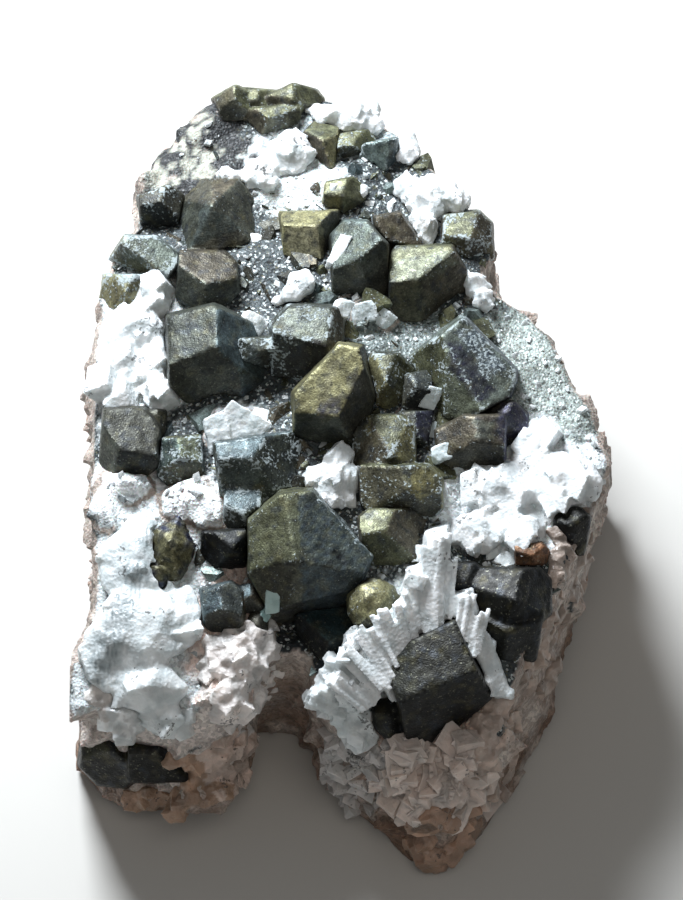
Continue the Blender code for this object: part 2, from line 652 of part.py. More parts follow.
MASSES = {
    "calcite_domes": (
        lump((-7.2, 39.9), 3.9, 3.6, 5.0), lump((-11.1, 37.8), 3.3, 2.8, 3.6),
        lump((-14.7, 36.7), 3.9, 2.2, 2.6), lump((-5.8, 34.8), 3.9, 2.2, 3.0),
        lump((-2.4, 32.2), 2.5, 1.4, 2.2), lump((-11.1, 33.9), 2.8, 1.4, 2.2),
    ),
    "calcite_far_right": (
        lump((-1.3, 45.9), 3.3, 2.1, 3.0), lump((2.0, 45.6), 3.3, 2.8, 4.0),
        lump((4.2, 44.2), 2.2, 1.7, 3.0), lump((-3.5, 47.0), 1.7, 1.4, 1.8),
    ),
    "calcite_right_point": (
        lump((8.8, 41.3), 2.4, 2.8, 3.2),
    ),
    "calcite_bright": (
        lump((12.3, 34.5), 4.2, 3.3, 4.6), lump((11.5, 30.3), 2.5, 2.8, 4.0),
        lump((8.4, 35.9), 1.9, 1.9, 2.6), lump((15.9, 33.9), 2.5, 1.8, 3.0),
    ),
    "calcite_ball": (
        ball((2.6, 35.9), 1.5, 1.2),
    ),
    "calcite_ball_cluster": (
        ball((-5.5, 23.1), 2.4, 1.2), ball((-6.9, 21.3), 1.9, 1.6), ball((-2.4, 21.8), 1.3, 1.0),
        ball((-8.8, 20.6), 1.1, 0.5),
    ),
    "calcite_right_notch": (
        lump((18.1, 22.2), 2.4, 2.2, 3.4), lump((19.5, 20.4), 1.5, 1.9, 2.6),
    ),
    "calcite_left_ledge": (
        lump((-26.3, 20.3), 3.3, 3.1, 3.6), lump((-28.8, 16.1), 5.0, 3.9, 4.2),
        lump((-30.1, 11.1), 3.9, 3.9, 3.8), lump((-25.9, 11.7), 2.8, 4.7, 3.6),
        lump((-30.5, 7.0), 3.5, 2.5, 3.0), lump((-24.7, 7.5), 2.8, 2.8, 2.6),
        lump((-21.9, 4.7), 3.1, 1.9, 2.2),
    ),
    "calcite_left_foot": (
        lump((-28.0, -16.1), 5.8, 6.4, 3.4), lump((-28.3, -25.3), 6.4, 6.4, 4.2),
        lump((-22.4, -23.9), 3.9, 5.6, 3.4), lump((-26.6, -33.1), 6.4, 4.2, 4.2),
        lump((-33.2, -28.5), 3.1, 5.6, 3.0), lump((-24.7, -37.0), 3.6, 3.3, 3.0),
        lump((-18.0, -15.6), 3.3, 2.5, 3.6),
    ),
    "calcite_star": (
        lump((-0.5, -4.7), 3.5, 3.6, 3.6), lump((-3.8, -4.2), 2.4, 1.4, 2.6),
        lump((-0.2, -1.4), 1.3, 1.8, 2.6), lump((1.5, -7.2), 1.4, 1.7, 2.4),
    ),
    "calcite_right_mass": (
        lump((26.8, -1.1), 3.9, 5.0, 4.4), lump((22.0, -7.0), 6.1, 4.7, 5.2),
        lump((29.8, -5.0), 5.0, 5.6, 4.6), lump((34.5, -5.0), 1.9, 3.3, 3.0),
        lump((19.3, -11.7), 4.2, 3.3, 4.6), lump((25.4, -11.4), 4.2, 2.5, 3.6),
    ),
    "calcite_blades": (
        blade((13.3, -18.9), 1.9, 6.4, 6.4, 90), blade((9.9, -21.7), 1.8, 4.4, 5.4, 80),
        blade((17.3, -23.4), 1.8, 3.3, 5.0, 96), blade((6.5, -26.4), 2.1, 5.3, 5.4, 60),
        lump((13.4, -23.6), 2.2, 1.9, 4.0),
    ),
    "calcite_right_foot": (
        blade((2.3, -29.7), 2.1, 4.7, 5.0, 62), blade((-1.0, -32.5), 1.8, 3.3, 4.4, 68),
        lump((0.6, -35.3), 3.3, 2.8, 4.0), lump((2.8, -38.6), 3.1, 2.8, 3.8),
        blade((7.0, -40.0), 1.3, 3.9, 3.4, 118),
    ),
    "calcite_blade_right": (
        blade((19.8, -29.5), 1.9, 4.7, 4.6, 104),
    ),
}

ROCK_LUMPS = (
    lump((31.2, -21.7), 2.4, 2.8, 2.6),
    lump((-23.3, 39.2), 3.6, 2.8, 1.2), lump((-20.2, 42.8), 3.3, 2.5, 1.4),
    lump((-17.7, 44.8), 3.6, 2.2, 1.6), lump((-23.8, 34.8), 2.5, 2.8, 1.0),
    lump((0.2, 19.6), 1.3, 1.3, 1.6), lump((4.1, 18.9), 2.4, 1.8, 2.6),
    lump((5.9, 17.8), 1.3, 1.4, 2.4),
    lump((-14.4, 3.5), 3.9, 2.4, 2.2), lump((-17.4, 1.7), 1.9, 1.5, 2.0),
    lump((-30.0, -5.8), 3.9, 3.1, 3.4), lump((-32.7, -8.6), 1.8, 3.6, 2.4),
    lump((-21.3, -7.8), 4.7, 3.1, 3.2), lump((-17.7, -9.2), 3.1, 2.5, 3.0),
    lump((-14.7, -29.2), 4.4, 4.4, 3.4), lump((-15.8, -34.8), 3.8, 3.6, 3.4),
    lump((-12.2, -25.9), 2.5, 3.3, 2.8), lump((-21.1, -43.8), 4.7, 5.0, 3.0),
    lump((-28.0, -48.0), 3.6, 1.9, 2.0), lump((-16.6, -44.5), 2.2, 3.9, 2.4),
    lump((18.7, -38.9), 3.2, 3.3, 4.2), lump((8.4, -43.9), 2.6, 2.5, 3.6),
    lump((13.1, -46.1), 3.5, 3.1, 4.2), lump((17.0, -42.8), 2.5, 1.8, 3.4),
    lump((10.9, -41.4), 3.1, 1.7, 3.2), lump((8.4, -48.4), 2.5, 1.9, 3.0),
    lump((12.3, -49.2), 2.8, 1.8, 3.0),
)


def solid(name, shapes, group, finish):
    """One object made of several shapes grown into each other."""
    first = make_object(name, shapes[0], group, finish)
    others = [make_object(f"{name}_{index}", code, tools) for index, code in enumerate(shapes[1:])]
    if others:
        combine(first, others, "UNION")
    return first


def combine(target, others, operation, whole=True):
    """Joins or cuts a solid with others. Of a whole solid, the largest body is kept."""
    group = bpy.data.collections.new("Cutters")
    for other in others:
        group.objects.link(other)
    modifier = target.modifiers.new("Combine", "BOOLEAN")
    modifier.operation = operation
    modifier.operand_type = "COLLECTION"
    modifier.collection = group
    modifier.solver = "EXACT"
    graph = bpy.context.evaluated_depsgraph_get()
    result = bpy.data.meshes.new_from_object(target.evaluated_get(graph))
    target.modifiers.clear()
    old = target.data
    target.data = result
    bpy.data.meshes.remove(old)
    bpy.data.collections.remove(group)
    for other in others:
        bpy.data.objects.remove(other, do_unlink=True)
    code = bmesh.new()
    code.from_mesh(result)
    tidy(code, whole)
    code.to_mesh(result)
    code.free()


def tidy(code, whole):
    """Merges points that coincide and faces that lie in one plane."""
    bmesh.ops.remove_doubles(code, verts=code.verts, dist=SAME_POINT * MM)
    bmesh.ops.dissolve_degenerate(code, edges=code.edges, dist=SHORT_EDGE * MM)
    if whole:
        keep_largest(code)
    flat = math.radians(FLAT_WITHIN)
    bmesh.ops.dissolve_limit(code, angle_limit=flat, verts=code.verts, edges=code.edges)


def keep_largest(code):
    """Deletes slivers that a cut has left beside the largest body."""
    left = set(code.verts)
    bodies = []
    while left:
        body = {left.pop()}
        front = list(body)
        while front:
            vertex = front.pop()
            for edge in vertex.link_edges:
                other = edge.other_vert(vertex)
                if other not in body:
                    body.add(other)
                    front.append(other)
        left -= body
        bodies.append(body)
    bodies.sort(key=lambda body: sum(f.calc_area() for v in body for f in v.link_faces))
    for body in bodies[:-1]:
        bmesh.ops.delete(code, geom=list(body), context="VERTS")


def box_of(code):
    """The lowest and the highest corner of a mesh."""
    low = Vector([min(v.co[axis] for v in code.verts) for axis in range(3)])
    high = Vector([max(v.co[axis] for v in code.verts) for axis in range(3)])
    return low, high


def near(one, other):
    """Whether two boxes touch or nearly touch."""
    margin = 2.0 * GAP * MM
    return all(
        one[0][axis] < other[1][axis] + margin and other[0][axis] < one[1][axis] + margin
        for axis in range(3)
    )


clear_scene()
specimen = make_collection("Tetrahedrite_specimen")
tools = make_collection("Cutting_tools")
tools.hide_render = True
ground = Ground(block_mesh())
grown_block = block_mesh(BLOCK_GAP)

grown = []
for table, finish in ((CRYSTALS, FAHLORE), (MASSES, SPAR)):
    for name, shapes in table.items():
        pieces = [shape(ground, 0.0) for shape in shapes]
        node = solid(name, pieces, specimen, FINISHES.get(name, finish))
        corners = [Vector(corner) for corner in node.bound_box]
        box = (
            Vector([min(corner[axis] for corner in corners) for axis in range(3)]),
            Vector([max(corner[axis] for corner in corners) for axis in range(3)]),
        )
        cutters = [
            make_object("cutter", shape(ground, GAP), tools)
            for shape, reach in grown
            if near(reach, box)
        ]
        cutters.append(make_object("cutter", grown_block.copy(), tools))
        combine(node, cutters, "DIFFERENCE")
        for shape in shapes:
            code = shape(ground, GAP)
            grown.append((shape, box_of(code)))
            code.free()

grown_block.free()
matrix = make_object("matrix", block_mesh(), specimen, ROCK)
pieces = [shape(ground, 0.0) for shape in ROCK_LUMPS]
lumps = [make_object("lump", code, tools) for code in pieces]
combine(lumps[0], lumps[1:], "UNION", whole=False)
cutters = [make_object("cutter", shape(ground, GAP), tools) for shape, _ in grown]
combine(lumps[0], cutters, "DIFFERENCE", whole=False)
combine(matrix, lumps[:1], "UNION")
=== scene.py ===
# %% [markdown]
# # A hand specimen of tetrahedrite
# Dark metallic crystals of tetrahedrite have grown on a block of pinkish vein rock, and white
# calcite fills the room between them. The measured solids give the place and size of every
# crystal. They could be given a material each and be left as they are, but then every face
# would be as flat as glass. So this lesson makes a fine copy of each one and gives the copy
# the surface of the real stone: broken calcite, granular rock, worn edges and tarnish.

import math
import random

import bmesh
import bpy
import numpy as np
from mathutils import Euler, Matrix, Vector
from mathutils.bvhtree import BVHTree
from mathutils.kdtree import KDTree


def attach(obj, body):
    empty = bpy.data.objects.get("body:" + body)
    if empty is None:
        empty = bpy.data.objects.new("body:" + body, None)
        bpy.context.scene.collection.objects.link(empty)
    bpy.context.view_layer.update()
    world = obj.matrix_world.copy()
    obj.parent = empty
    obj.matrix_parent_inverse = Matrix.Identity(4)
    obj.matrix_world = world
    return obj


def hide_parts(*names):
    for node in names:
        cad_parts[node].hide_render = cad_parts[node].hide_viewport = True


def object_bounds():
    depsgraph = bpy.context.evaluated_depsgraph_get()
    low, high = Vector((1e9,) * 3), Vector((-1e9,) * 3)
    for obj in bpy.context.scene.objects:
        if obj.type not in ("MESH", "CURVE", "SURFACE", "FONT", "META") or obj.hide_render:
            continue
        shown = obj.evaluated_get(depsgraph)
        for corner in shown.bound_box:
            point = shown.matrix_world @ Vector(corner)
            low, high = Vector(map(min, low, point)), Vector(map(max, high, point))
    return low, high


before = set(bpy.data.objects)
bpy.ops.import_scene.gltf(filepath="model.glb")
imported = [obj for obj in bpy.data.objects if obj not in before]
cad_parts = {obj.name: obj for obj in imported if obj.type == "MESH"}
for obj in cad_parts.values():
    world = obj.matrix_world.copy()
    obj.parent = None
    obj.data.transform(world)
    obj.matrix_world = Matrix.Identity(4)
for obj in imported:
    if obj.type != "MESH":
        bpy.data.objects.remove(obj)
solid_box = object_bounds()
MM = 0.001
print("solids:", len(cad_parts))
print("size in mm:", [round(x / MM, 1) for x in solid_box[1] - solid_box[0]])

# %% [markdown]
# ## Camera
# The stone was photographed from 56 degrees above the table, with its far end up. A long lens
# keeps its proportions, so the eye stands 900 mm away. The camera could be aimed with a
# constraint, but one turn about the x axis does the same. The same line of sight serves as a
# sheet to place details on: millimetres across to the right, and along towards the far end.

# %% Camera
SIGHT_RISE = math.radians(56)
SIGHT_LENGTH = 900.0
SHEET_CENTRE = np.array([0.0, 0.0, 25.0])
ACROSS = np.array([1.0, 0.0, 0.0])
ALONG = np.array([0.0, math.sin(SIGHT_RISE), math.cos(SIGHT_RISE)])
TOWARDS = np.array([0.0, -math.cos(SIGHT_RISE), math.sin(SIGHT_RISE)])
EYE = SHEET_CENTRE + TOWARDS * SIGHT_LENGTH
PICTURE_HEIGHT = 125.1
SENSOR = 36.0
FARTHEST = 20.0

bpy.ops.object.camera_add(location=EYE * MM, rotation=(math.pi / 2 - SIGHT_RISE, 0.0, 0.0))
camera = bpy.context.object
camera.data.sensor_width = SENSOR
camera.data.lens = SENSOR * SIGHT_LENGTH / PICTURE_HEIGHT
camera.data.clip_end = FARTHEST
bpy.context.scene.camera = camera
print("lens:", round(camera.data.lens, 1), "mm")

# %% [markdown]
# ## Nodes and colours
# Every material and every relief below is a tree of nodes. Nodes could be placed one by one
# with three or four lines each. One small function does it in a line, for any kind of node,
# and gives back the output that the next node reads. Another one turns the hex code of a
# colour, as a screen shows it, into the linear light that Blender works in.

# %% One small function adds a node, and another reads a colour


def add(tree, kind, inputs=(), out=0, **settings):
    """A new node's output. Inputs maps a socket's name or number to a value or another output."""
    made = tree.nodes.new(kind)
    for key, value in settings.items():
        setattr(made, key, value)
    for key, value in dict(inputs).items():
        if isinstance(value, bpy.types.NodeSocket):
            tree.links.new(value, made.inputs[key])
        else:
            made.inputs[key].default_value = value
    return made.outputs[out] if len(made.outputs) else None


def linear(code):
    """The colour of an sRGB hex code, in linear light."""
    parts = [int(code[index:index + 2], 16) / 255 for index in (1, 3, 5)]
    return (*[p / 12.92 if p <= 0.04045 else ((p + 0.055) / 1.055) ** 2.4 for p in parts], 1.0)


print("linear light of a middle grey:", round(linear("#808080")[0], 3))

# %% [markdown]
# ## Floor
# The stone lies on a table. A plain sheet of matt paper is enough for it, pale and grey, so
# that it shows the stone's outline and takes a soft shadow.

# %% Floor
FLOOR_SIZE = 8.0
bpy.ops.mesh.primitive_plane_add(size=FLOOR_SIZE)
floor = bpy.context.object
floor.name = "floor"
paper = bpy.data.materials.new("matt_paper")
paper.use_nodes = True
paper_shader = paper.node_tree.nodes["Principled BSDF"]
paper_shader.inputs["Base Color"].default_value = linear("#c2c0bb")
paper_shader.inputs["Roughness"].default_value = 0.9
floor.data.materials.append(paper)
print("floor:", FLOOR_SIZE, "m wide")

# %% [markdown]
# ## Light
# One soft lamp stands high and to the left behind the stone, as a window or a desk lamp
# would. Faces that look towards it are bright and faces that look to the front are dark,
# which shows the crystals' shapes. A faint sky and a weak lamp from the front keep the dark
# sides readable. A sky image could light the stone too, but two lamps are easier to understand.

# %% Light
world = bpy.data.worlds.new("studio")
world.use_nodes = True
world.node_tree.nodes["Background"].inputs["Color"].default_value = linear("#ccd4dc")
world.node_tree.nodes["Background"].inputs["Strength"].default_value = 0.19
bpy.context.scene.world = world


def soft_lamp(name, place, size, power, colour):
    """A square lamp at a place in metres, turned to the middle of the stone."""
    aim = Vector(SHEET_CENTRE * MM) - Vector(place)
    turn = aim.to_track_quat("-Z", "Y").to_euler()
    bpy.ops.object.light_add(type="AREA", location=place, rotation=turn)
    lamp = bpy.context.object
    lamp.name = name
    lamp.data.size = size
    lamp.data.energy = power
    lamp.data.color = linear(colour)[:3]
    print(name, "lamp:", power, "W,", size, "m wide")


soft_lamp("key", (-0.12, 0.24, 0.30), 0.14, 4.2, "#f2f8ff")
soft_lamp("fill", (0.1, -0.5, 0.9), 0.6, 1.7, "#fff6ec")
bpy.context.scene.view_settings.view_transform = "Standard"

# %% [markdown]
# ## Working copies of the measured solids
# A measured solid is a closed body of loose triangles, a few dozen of them. Its copy is
# merged, and a voxel remesh fills it with an even net of small faces, which can then be
# shaped like clay. Subdivision could add faces too, but its long triangles would make uneven
# bumps. The solid itself is never changed: the finished copy stands for it.

# %% Select a piece, and apply a modifier to it


def only(piece):
    """Selects one piece and nothing else."""
    bpy.ops.object.select_all(action="DESELECT")
    piece.select_set(True)
    bpy.context.view_layer.objects.active = piece


def apply_modifier(piece, kind, **settings):
    """Gives a piece a modifier and applies it at once."""
    only(piece)
    bpy.ops.object.modifier_add(type=kind)
    modifier = piece.modifiers[-1]
    for key, value in settings.items():
        setattr(modifier, key, value)
    bpy.ops.object.modifier_apply(modifier=modifier.name)


# %% A working copy
MERGE = 0.001


def remesh(piece, grain):
    """Fills a piece with an even net of faces, each a grain in millimetres wide."""
    apply_modifier(piece, "REMESH", mode="VOXEL", voxel_size=grain * MM)


def clay_copy(node, grain):
    """A merged and remeshed copy of a measured solid."""
    piece = bpy.data.objects.new(node + "_surface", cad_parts[node].data.copy())
    bpy.context.scene.collection.objects.link(piece)
    piece.data.materials.clear()
    only(piece)
    bpy.ops.object.mode_set(mode="EDIT")
    bpy.ops.mesh.select_all(action="SELECT")
    bpy.ops.mesh.remove_doubles(threshold=MERGE * MM)
    bpy.ops.object.mode_set(mode="OBJECT")
    remesh(piece, grain)
    return piece


def places(piece):
    """Where a piece's points are, in millimetres."""
    flat = np.empty(len(piece.data.vertices) * 3, np.float32)
    piece.data.vertices.foreach_get("co", flat)
    return flat.reshape(-1, 3).astype(float) / MM


def solid_faces(node):
    """A measured solid's faces, in a form that finds the nearest one quickly."""
    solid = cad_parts[node].data
    return BVHTree.FromPolygons([v.co for v in solid.vertices], [p.vertices for p in solid.polygons])


print("faces of the solid matrix:", len(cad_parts["matrix"].data.polygons))

# %% [markdown]
# ## Layers of relief
# Real surfaces are rough on several scales at once. A layer is one kind of roughness: soft
# swellings, packed grains, or patches that stand a little higher or lower than the next. An
# image could hold such relief, but a pattern worked out from a point's place needs no image
# and has no seams. A geometry-node tree adds up a piece's layers and moves every point along
# its normal.

# %% Relief from layers
LAYER_KINDS = {
    # the texture node, the output that is read, and how strongly it counts for a height of 1
    "swell": ("ShaderNodeTexNoise", 0, 2.0),
    "grains": ("ShaderNodeTexVoronoi", "Distance", -1.0),
    "steps": ("ShaderNodeTexVoronoi", "Color", 2.2),
}
# A layer without a stretch and a turn of its own has these
PLAIN = [(1.0, 1.0, 1.0), (0.0, 0.0, 0.0)]


def sculpt(piece, *layers, raised=0.0):
    """Adds layers: each is a kind, a size and a height in millimetres, then a stretch and a turn."""
    tree = bpy.data.node_groups.new("Relief", "GeometryNodeTree")
    tree.interface.new_socket("Geometry", in_out="INPUT", socket_type="NodeSocketGeometry")
    tree.interface.new_socket("Geometry", in_out="OUTPUT", socket_type="NodeSocketGeometry")
    source = add(tree, "NodeGroupInput")
    place = add(tree, "GeometryNodeInputPosition")
    height = raised * MM
    for kind, size, tall, *rest in layers:
        node, output, strength = LAYER_KINDS[kind]
        stretch, turn = rest + PLAIN[len(rest):]
        inputs = {"Vector": place, "Rotation": turn}
        turned_place = add(tree, "ShaderNodeVectorRotate", inputs, rotation_type="EULER_XYZ")
        per_metre = [1.0 / (size * MM * part) for part in stretch]
        spot = add(tree, "ShaderNodeVectorMath", {0: turned_place, 1: per_metre}, operation="MULTIPLY")
        value = add(tree, node, {"Vector": spot, "Scale": 1.0}, output)
        centred = add(tree, "ShaderNodeMath", {0: value, 1: 0.5}, operation="SUBTRACT")
        sums = {0: centred, 1: strength * tall * MM, 2: height}
        height = add(tree, "ShaderNodeMath", sums, operation="MULTIPLY_ADD")
    normal = add(tree, "GeometryNodeInputNormal")
    offset = add(tree, "ShaderNodeVectorMath", {0: normal, "Scale": height}, operation="SCALE")
    moved = add(tree, "GeometryNodeSetPosition", {"Geometry": source, "Offset": offset})
    add(tree, "NodeGroupOutput", {0: moved})
    apply_modifier(piece, "NODES", node_group=tree)
    bpy.data.node_groups.remove(tree)


print("kinds of relief:", ", ".join(LAYER_KINDS))

# %% [markdown]
# ## Colour points and last steps
# Tarnish, dust and tint change from place to place. They could be painted by hand, and here
# each is a named attribute, one value for each point, which a material reads by its name.
# The last step of every piece clips it to the measured box, so that the relief never makes
# the stone bigger, gives it its finish and lets it stand for its solids.

# %% Paint points, and settle a piece
LOW, HIGH = (np.array(corner) / MM for corner in solid_box)


def paint(piece, name, colours):
    """Gives every point of a piece its own colour."""
    layer = piece.data.attributes.new(name, "FLOAT_COLOR", "POINT")
    opaque = np.column_stack([colours, np.ones(len(colours))])
    layer.data.foreach_set("color", opaque.astype(np.float32).ravel())


def weigh(piece, name, values):
    """Gives every point of a piece its own value."""
    layer = piece.data.attributes.new(name, "FLOAT", "POINT")
    layer.data.foreach_set("value", np.asarray(values, np.float32))


def settle(piece, slot, material, *nodes, smooth=30):
    """Clips a piece to the measured box, finishes it and lets it stand for its solids."""
    spots = np.clip(places(piece), LOW, HIGH)
    piece.data.vertices.foreach_set("co", (spots * MM).astype(np.float32).ravel())
    piece.data.update()
    piece.data.materials.append(material)
    only(piece)
    if smooth:
        bpy.ops.object.shade_smooth_by_angle(angle=math.radians(smooth))
    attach(piece, "root")
    if nodes:
        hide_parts(*nodes)


print("box in mm:", LOW.round(1), HIGH.round(1))

# %% [markdown]
# ## Finish: tarnished tetrahedrite
# Tetrahedrite is a copper antimony sulphide, a grey metal-like mineral. Its faces were bright
# when they grew, and air has tarnished them since: brassy and olive on some, brown, blue or
# violet on others. To the eye it is a dark metal with a soft gloss, tiny brighter glints,
# fine growth lines and pale dust along the edges. A plain metal would look machined, so its
# colour is built up in the order in which the real one formed: tarnish, film, grime and dust,
# with painted glints, small painted highlights, laid in before the grime. One point attribute
# holds a point's colour: its tarnish, and on the large crystals also painted shade and light
# by the way each face leans. Another, `dust`, holds its share of dust.

# %% Start a finish: a material, its shader, and a point's place in millimetres


def finish(name, roughness, metallic=0.0):
    """A new material, its tree, its shader and the place of a point in millimetres."""
    made = bpy.data.materials.new(name)
    made.use_nodes = True
    tree = made.node_tree
    shader = tree.nodes["Principled BSDF"]
    shader.inputs["Roughness"].default_value = roughness
    shader.inputs["Metallic"].default_value = metallic
    place = add(tree, "ShaderNodeTexCoord", out="Object")
    spot = add(tree, "ShaderNodeVectorMath", {0: place, "Scale": 1.0 / MM}, operation="SCALE")
    return made, tree, shader, spot


ore, tree, shader, spot = finish("tarnished_tetrahedrite", 0.42, 0.7)
# Sockets by number: a Map Range reads 0 between 1 and 2, and gives 3 to 4. A Mix of colours
# lays a share 0 of colour 7 over colour 6, and gives output 2. A Math node has 0, 1 and 2.
SOFT = {"interpolation_type": "SMOOTHSTEP"}
COLOUR = {"data_type": "RGBA"}
TINTED = {"data_type": "RGBA", "blend_type": "MULTIPLY"}
print("started", ore.name)

# %% Tetrahedrite: patches of tarnish, a steel-blue film and a brassy one
PATCH_WIDTH, FILM_WIDTH, BRASSY_WIDTH = 2.4, 1.6, 2.1
tarnish = add(tree, "ShaderNodeAttribute", out="Color", attribute_name="tarnish")
cloud = add(tree, "ShaderNodeTexNoise", {"Vector": spot, "Scale": 1 / PATCH_WIDTH, "Detail": 4.0})
patches = add(tree, "ShaderNodeMapRange", {0: cloud, 1: 0.3, 2: 0.7, 3: 0.6, 4: 1.4}, **SOFT)
shaded = add(tree, "ShaderNodeMix", {0: 1.0, 6: tarnish, 7: patches}, 2, **TINTED)
cloud = add(tree, "ShaderNodeTexNoise", {"Vector": spot, "Scale": 1 / FILM_WIDTH, "Detail": 3.0})
film = add(tree, "ShaderNodeMapRange", {0: cloud, 1: 0.52, 2: 0.7, 4: 0.45}, **SOFT)
filmed = add(tree, "ShaderNodeMix", {0: film, 6: shaded, 7: linear("#343b44")}, 2, **COLOUR)
inputs = {"Vector": spot, "Scale": 1 / BRASSY_WIDTH, "Detail": 4.0}
cloud = add(tree, "ShaderNodeTexNoise", inputs, "Color")
brassy = add(tree, "ShaderNodeMapRange", {0: cloud, 1: 0.5, 2: 0.72, 4: 0.5}, **SOFT)
golden = add(tree, "ShaderNodeMix", {0: 0.7, 6: shaded, 7: linear("#6b6544")}, 2, **COLOUR)
filmed = add(tree, "ShaderNodeMix", {0: brassy, 6: filmed, 7: golden}, 2, **COLOUR)
print("patches of tarnish:", PATCH_WIDTH, "mm")

# %% Tetrahedrite: painted glints
# The real steps on a face are a few hundredths of a millimetre, too fine to show. They are
# drawn as cells this wide, each a little paler or darker, and a few are lightened as painted glints.
PAINTED_GLINT_WIDTH = 0.2
cells = add(tree, "ShaderNodeTexVoronoi", {"Vector": spot, "Scale": 1 / PAINTED_GLINT_WIDTH}, "Color")
speck = add(tree, "ShaderNodeSeparateColor", {0: cells}).node
sparkle = add(tree, "ShaderNodeMapRange", {0: speck.outputs[2], 3: 0.7, 4: 1.3}, **SOFT)
fine = add(tree, "ShaderNodeMix", {0: 1.0, 6: filmed, 7: sparkle}, 2, **TINTED)
painted_glint = add(tree, "ShaderNodeMapRange", {0: speck.outputs[0], 1: 0.95, 2: 0.99, 4: 0.35}, **SOFT)
with_painted_glints = add(tree, "ShaderNodeMix", {0: painted_glint, 6: fine, 7: linear("#8f8f7c")}, 2, **COLOUR)
print("glint cells:", PAINTED_GLINT_WIDTH, "mm")

# %% Tetrahedrite: grime, and dust in small spots
GRIME_WIDTH, DUST_WIDTH = 0.8, 0.4
cloud = add(tree, "ShaderNodeTexNoise", {"Vector": spot, "Scale": 1 / GRIME_WIDTH, "Detail": 5.0})
grime = add(tree, "ShaderNodeMapRange", {0: cloud, 1: 0.54, 2: 0.7, 4: 0.55}, **SOFT)
grimed = add(tree, "ShaderNodeMix", {0: grime, 6: with_painted_glints, 7: linear("#161715")}, 2, **COLOUR)
dust = add(tree, "ShaderNodeAttribute", out="Fac", attribute_name="dust")
cloud = add(tree, "ShaderNodeTexNoise", {"Vector": spot, "Scale": 1 / DUST_WIDTH, "Detail": 4.0})
scatter = add(tree, "ShaderNodeMath", {0: dust, 1: 0.5, 2: cloud}, operation="MULTIPLY_ADD")
dusty = add(tree, "ShaderNodeMapRange", {0: scatter, 1: 0.70, 2: 0.86, 4: 0.85}, **SOFT)
surface = add(tree, "ShaderNodeMix", {0: dusty, 6: grimed, 7: linear("#a9b4b6")}, 2, **COLOUR)
tree.links.new(surface, shader.inputs["Base Color"])
print("spots of dust:", DUST_WIDTH, "mm")

# %% Tetrahedrite: gloss, which dust takes away, growth lines and pits
POLISH_WIDTH, PIT_WIDTH, RELIEF = 0.9, 0.25, 0.07
# The lines lie level: the pattern is drawn out sideways and pressed together from top to foot
LINE_SCALE, LINE_SHAPE = 0.9, (0.5, 0.5, 4.0)
bare = add(tree, "ShaderNodeMapRange", {0: dusty, 3: 0.55, 4: 0.0}, **SOFT)
tree.links.new(bare, shader.inputs["Metallic"])
cloud = add(tree, "ShaderNodeTexNoise", {"Vector": spot, "Scale": 1 / POLISH_WIDTH, "Detail": 3.0})
polish = add(tree, "ShaderNodeMapRange", {0: cloud, 1: 0.3, 2: 0.7, 3: 0.4, 4: 0.6}, **SOFT)
gloss = add(tree, "ShaderNodeMath", {0: dusty, 1: 0.3, 2: polish}, operation="MULTIPLY_ADD")
tree.links.new(gloss, shader.inputs["Roughness"])
drawn_out = add(tree, "ShaderNodeVectorMath", {0: spot, 1: LINE_SHAPE}, operation="MULTIPLY")
lines = add(tree, "ShaderNodeTexNoise", {"Vector": drawn_out, "Scale": LINE_SCALE, "Detail": 3.0})
pits = add(tree, "ShaderNodeTexNoise", {"Vector": spot, "Scale": 1 / PIT_WIDTH, "Detail": 2.0})
relief = add(tree, "ShaderNodeMath", {0: lines, 1: 0.6, 2: pits}, operation="MULTIPLY_ADD")
relief = add(tree, "ShaderNodeMath", {0: dusty, 1: 0.8, 2: relief}, operation="MULTIPLY_ADD")
bumped = add(tree, "ShaderNodeBump", {"Height": relief, "Distance": RELIEF * MM})
tree.links.new(bumped, shader.inputs["Normal"])
print("made", ore.name, "with", len(tree.nodes), "nodes")
print("growth lines:", round(1 / (LINE_SCALE * LINE_SHAPE[2]), 2), "mm apart")

# %% [markdown]
# ## Finish: calcite
# Calcite is calcium carbonate, white where it is full of tiny flaws and glassy where it is
# clear. It breaks along flat faces that catch the light, and light enters it a little, so its
# shadows stay soft and grey. White paint would look like plaster, so the shader scatters
# light about a millimetre deep and has calcite's own IOR. The attribute `tint` gives each
# point its colour: snow white, greyish or pink.

# %% Calcite: clouds, and dark specks of ore that crowd together here and there
spar, tree, shader, spot = finish("calcite_spar", 0.42)
CLOUD_WIDTH, SPECK_WIDTH, CROWD_WIDTH = 2.2, 0.55, 4.0
tint = add(tree, "ShaderNodeAttribute", out="Color", attribute_name="tint")
cloud = add(tree, "ShaderNodeTexNoise", {"Vector": spot, "Scale": 1 / CLOUD_WIDTH, "Detail": 4.0})
clear = add(tree, "ShaderNodeMapRange", {0: cloud, 1: 0.35, 2: 0.65}, **SOFT)
milky = add(tree, "ShaderNodeMix", {0: 1.0, 6: tint, 7: linear("#e2e7e8")}, 2, **TINTED)
cloudy = add(tree, "ShaderNodeMix", {0: clear, 6: milky, 7: tint}, 2, **COLOUR)
small = add(tree, "ShaderNodeTexNoise", {"Vector": spot, "Scale": 1 / SPECK_WIDTH, "Detail": 4.0})
wide = add(tree, "ShaderNodeTexNoise", {"Vector": spot, "Scale": 1 / CROWD_WIDTH, "Detail": 2.0})
stain = add(tree, "ShaderNodeMath", {0: small, 1: wide}, operation="MULTIPLY")
dots = add(tree, "ShaderNodeMapRange", {0: stain, 1: 0.385, 2: 0.42, 4: 0.75}, **SOFT)
dotted = add(tree, "ShaderNodeMix", {0: dots, 6: cloudy, 7: linear("#3a3b3a")}, 2, **COLOUR)
tree.links.new(dotted, shader.inputs["Base Color"])
print("clouds in the calcite:", CLOUD_WIDTH, "mm")

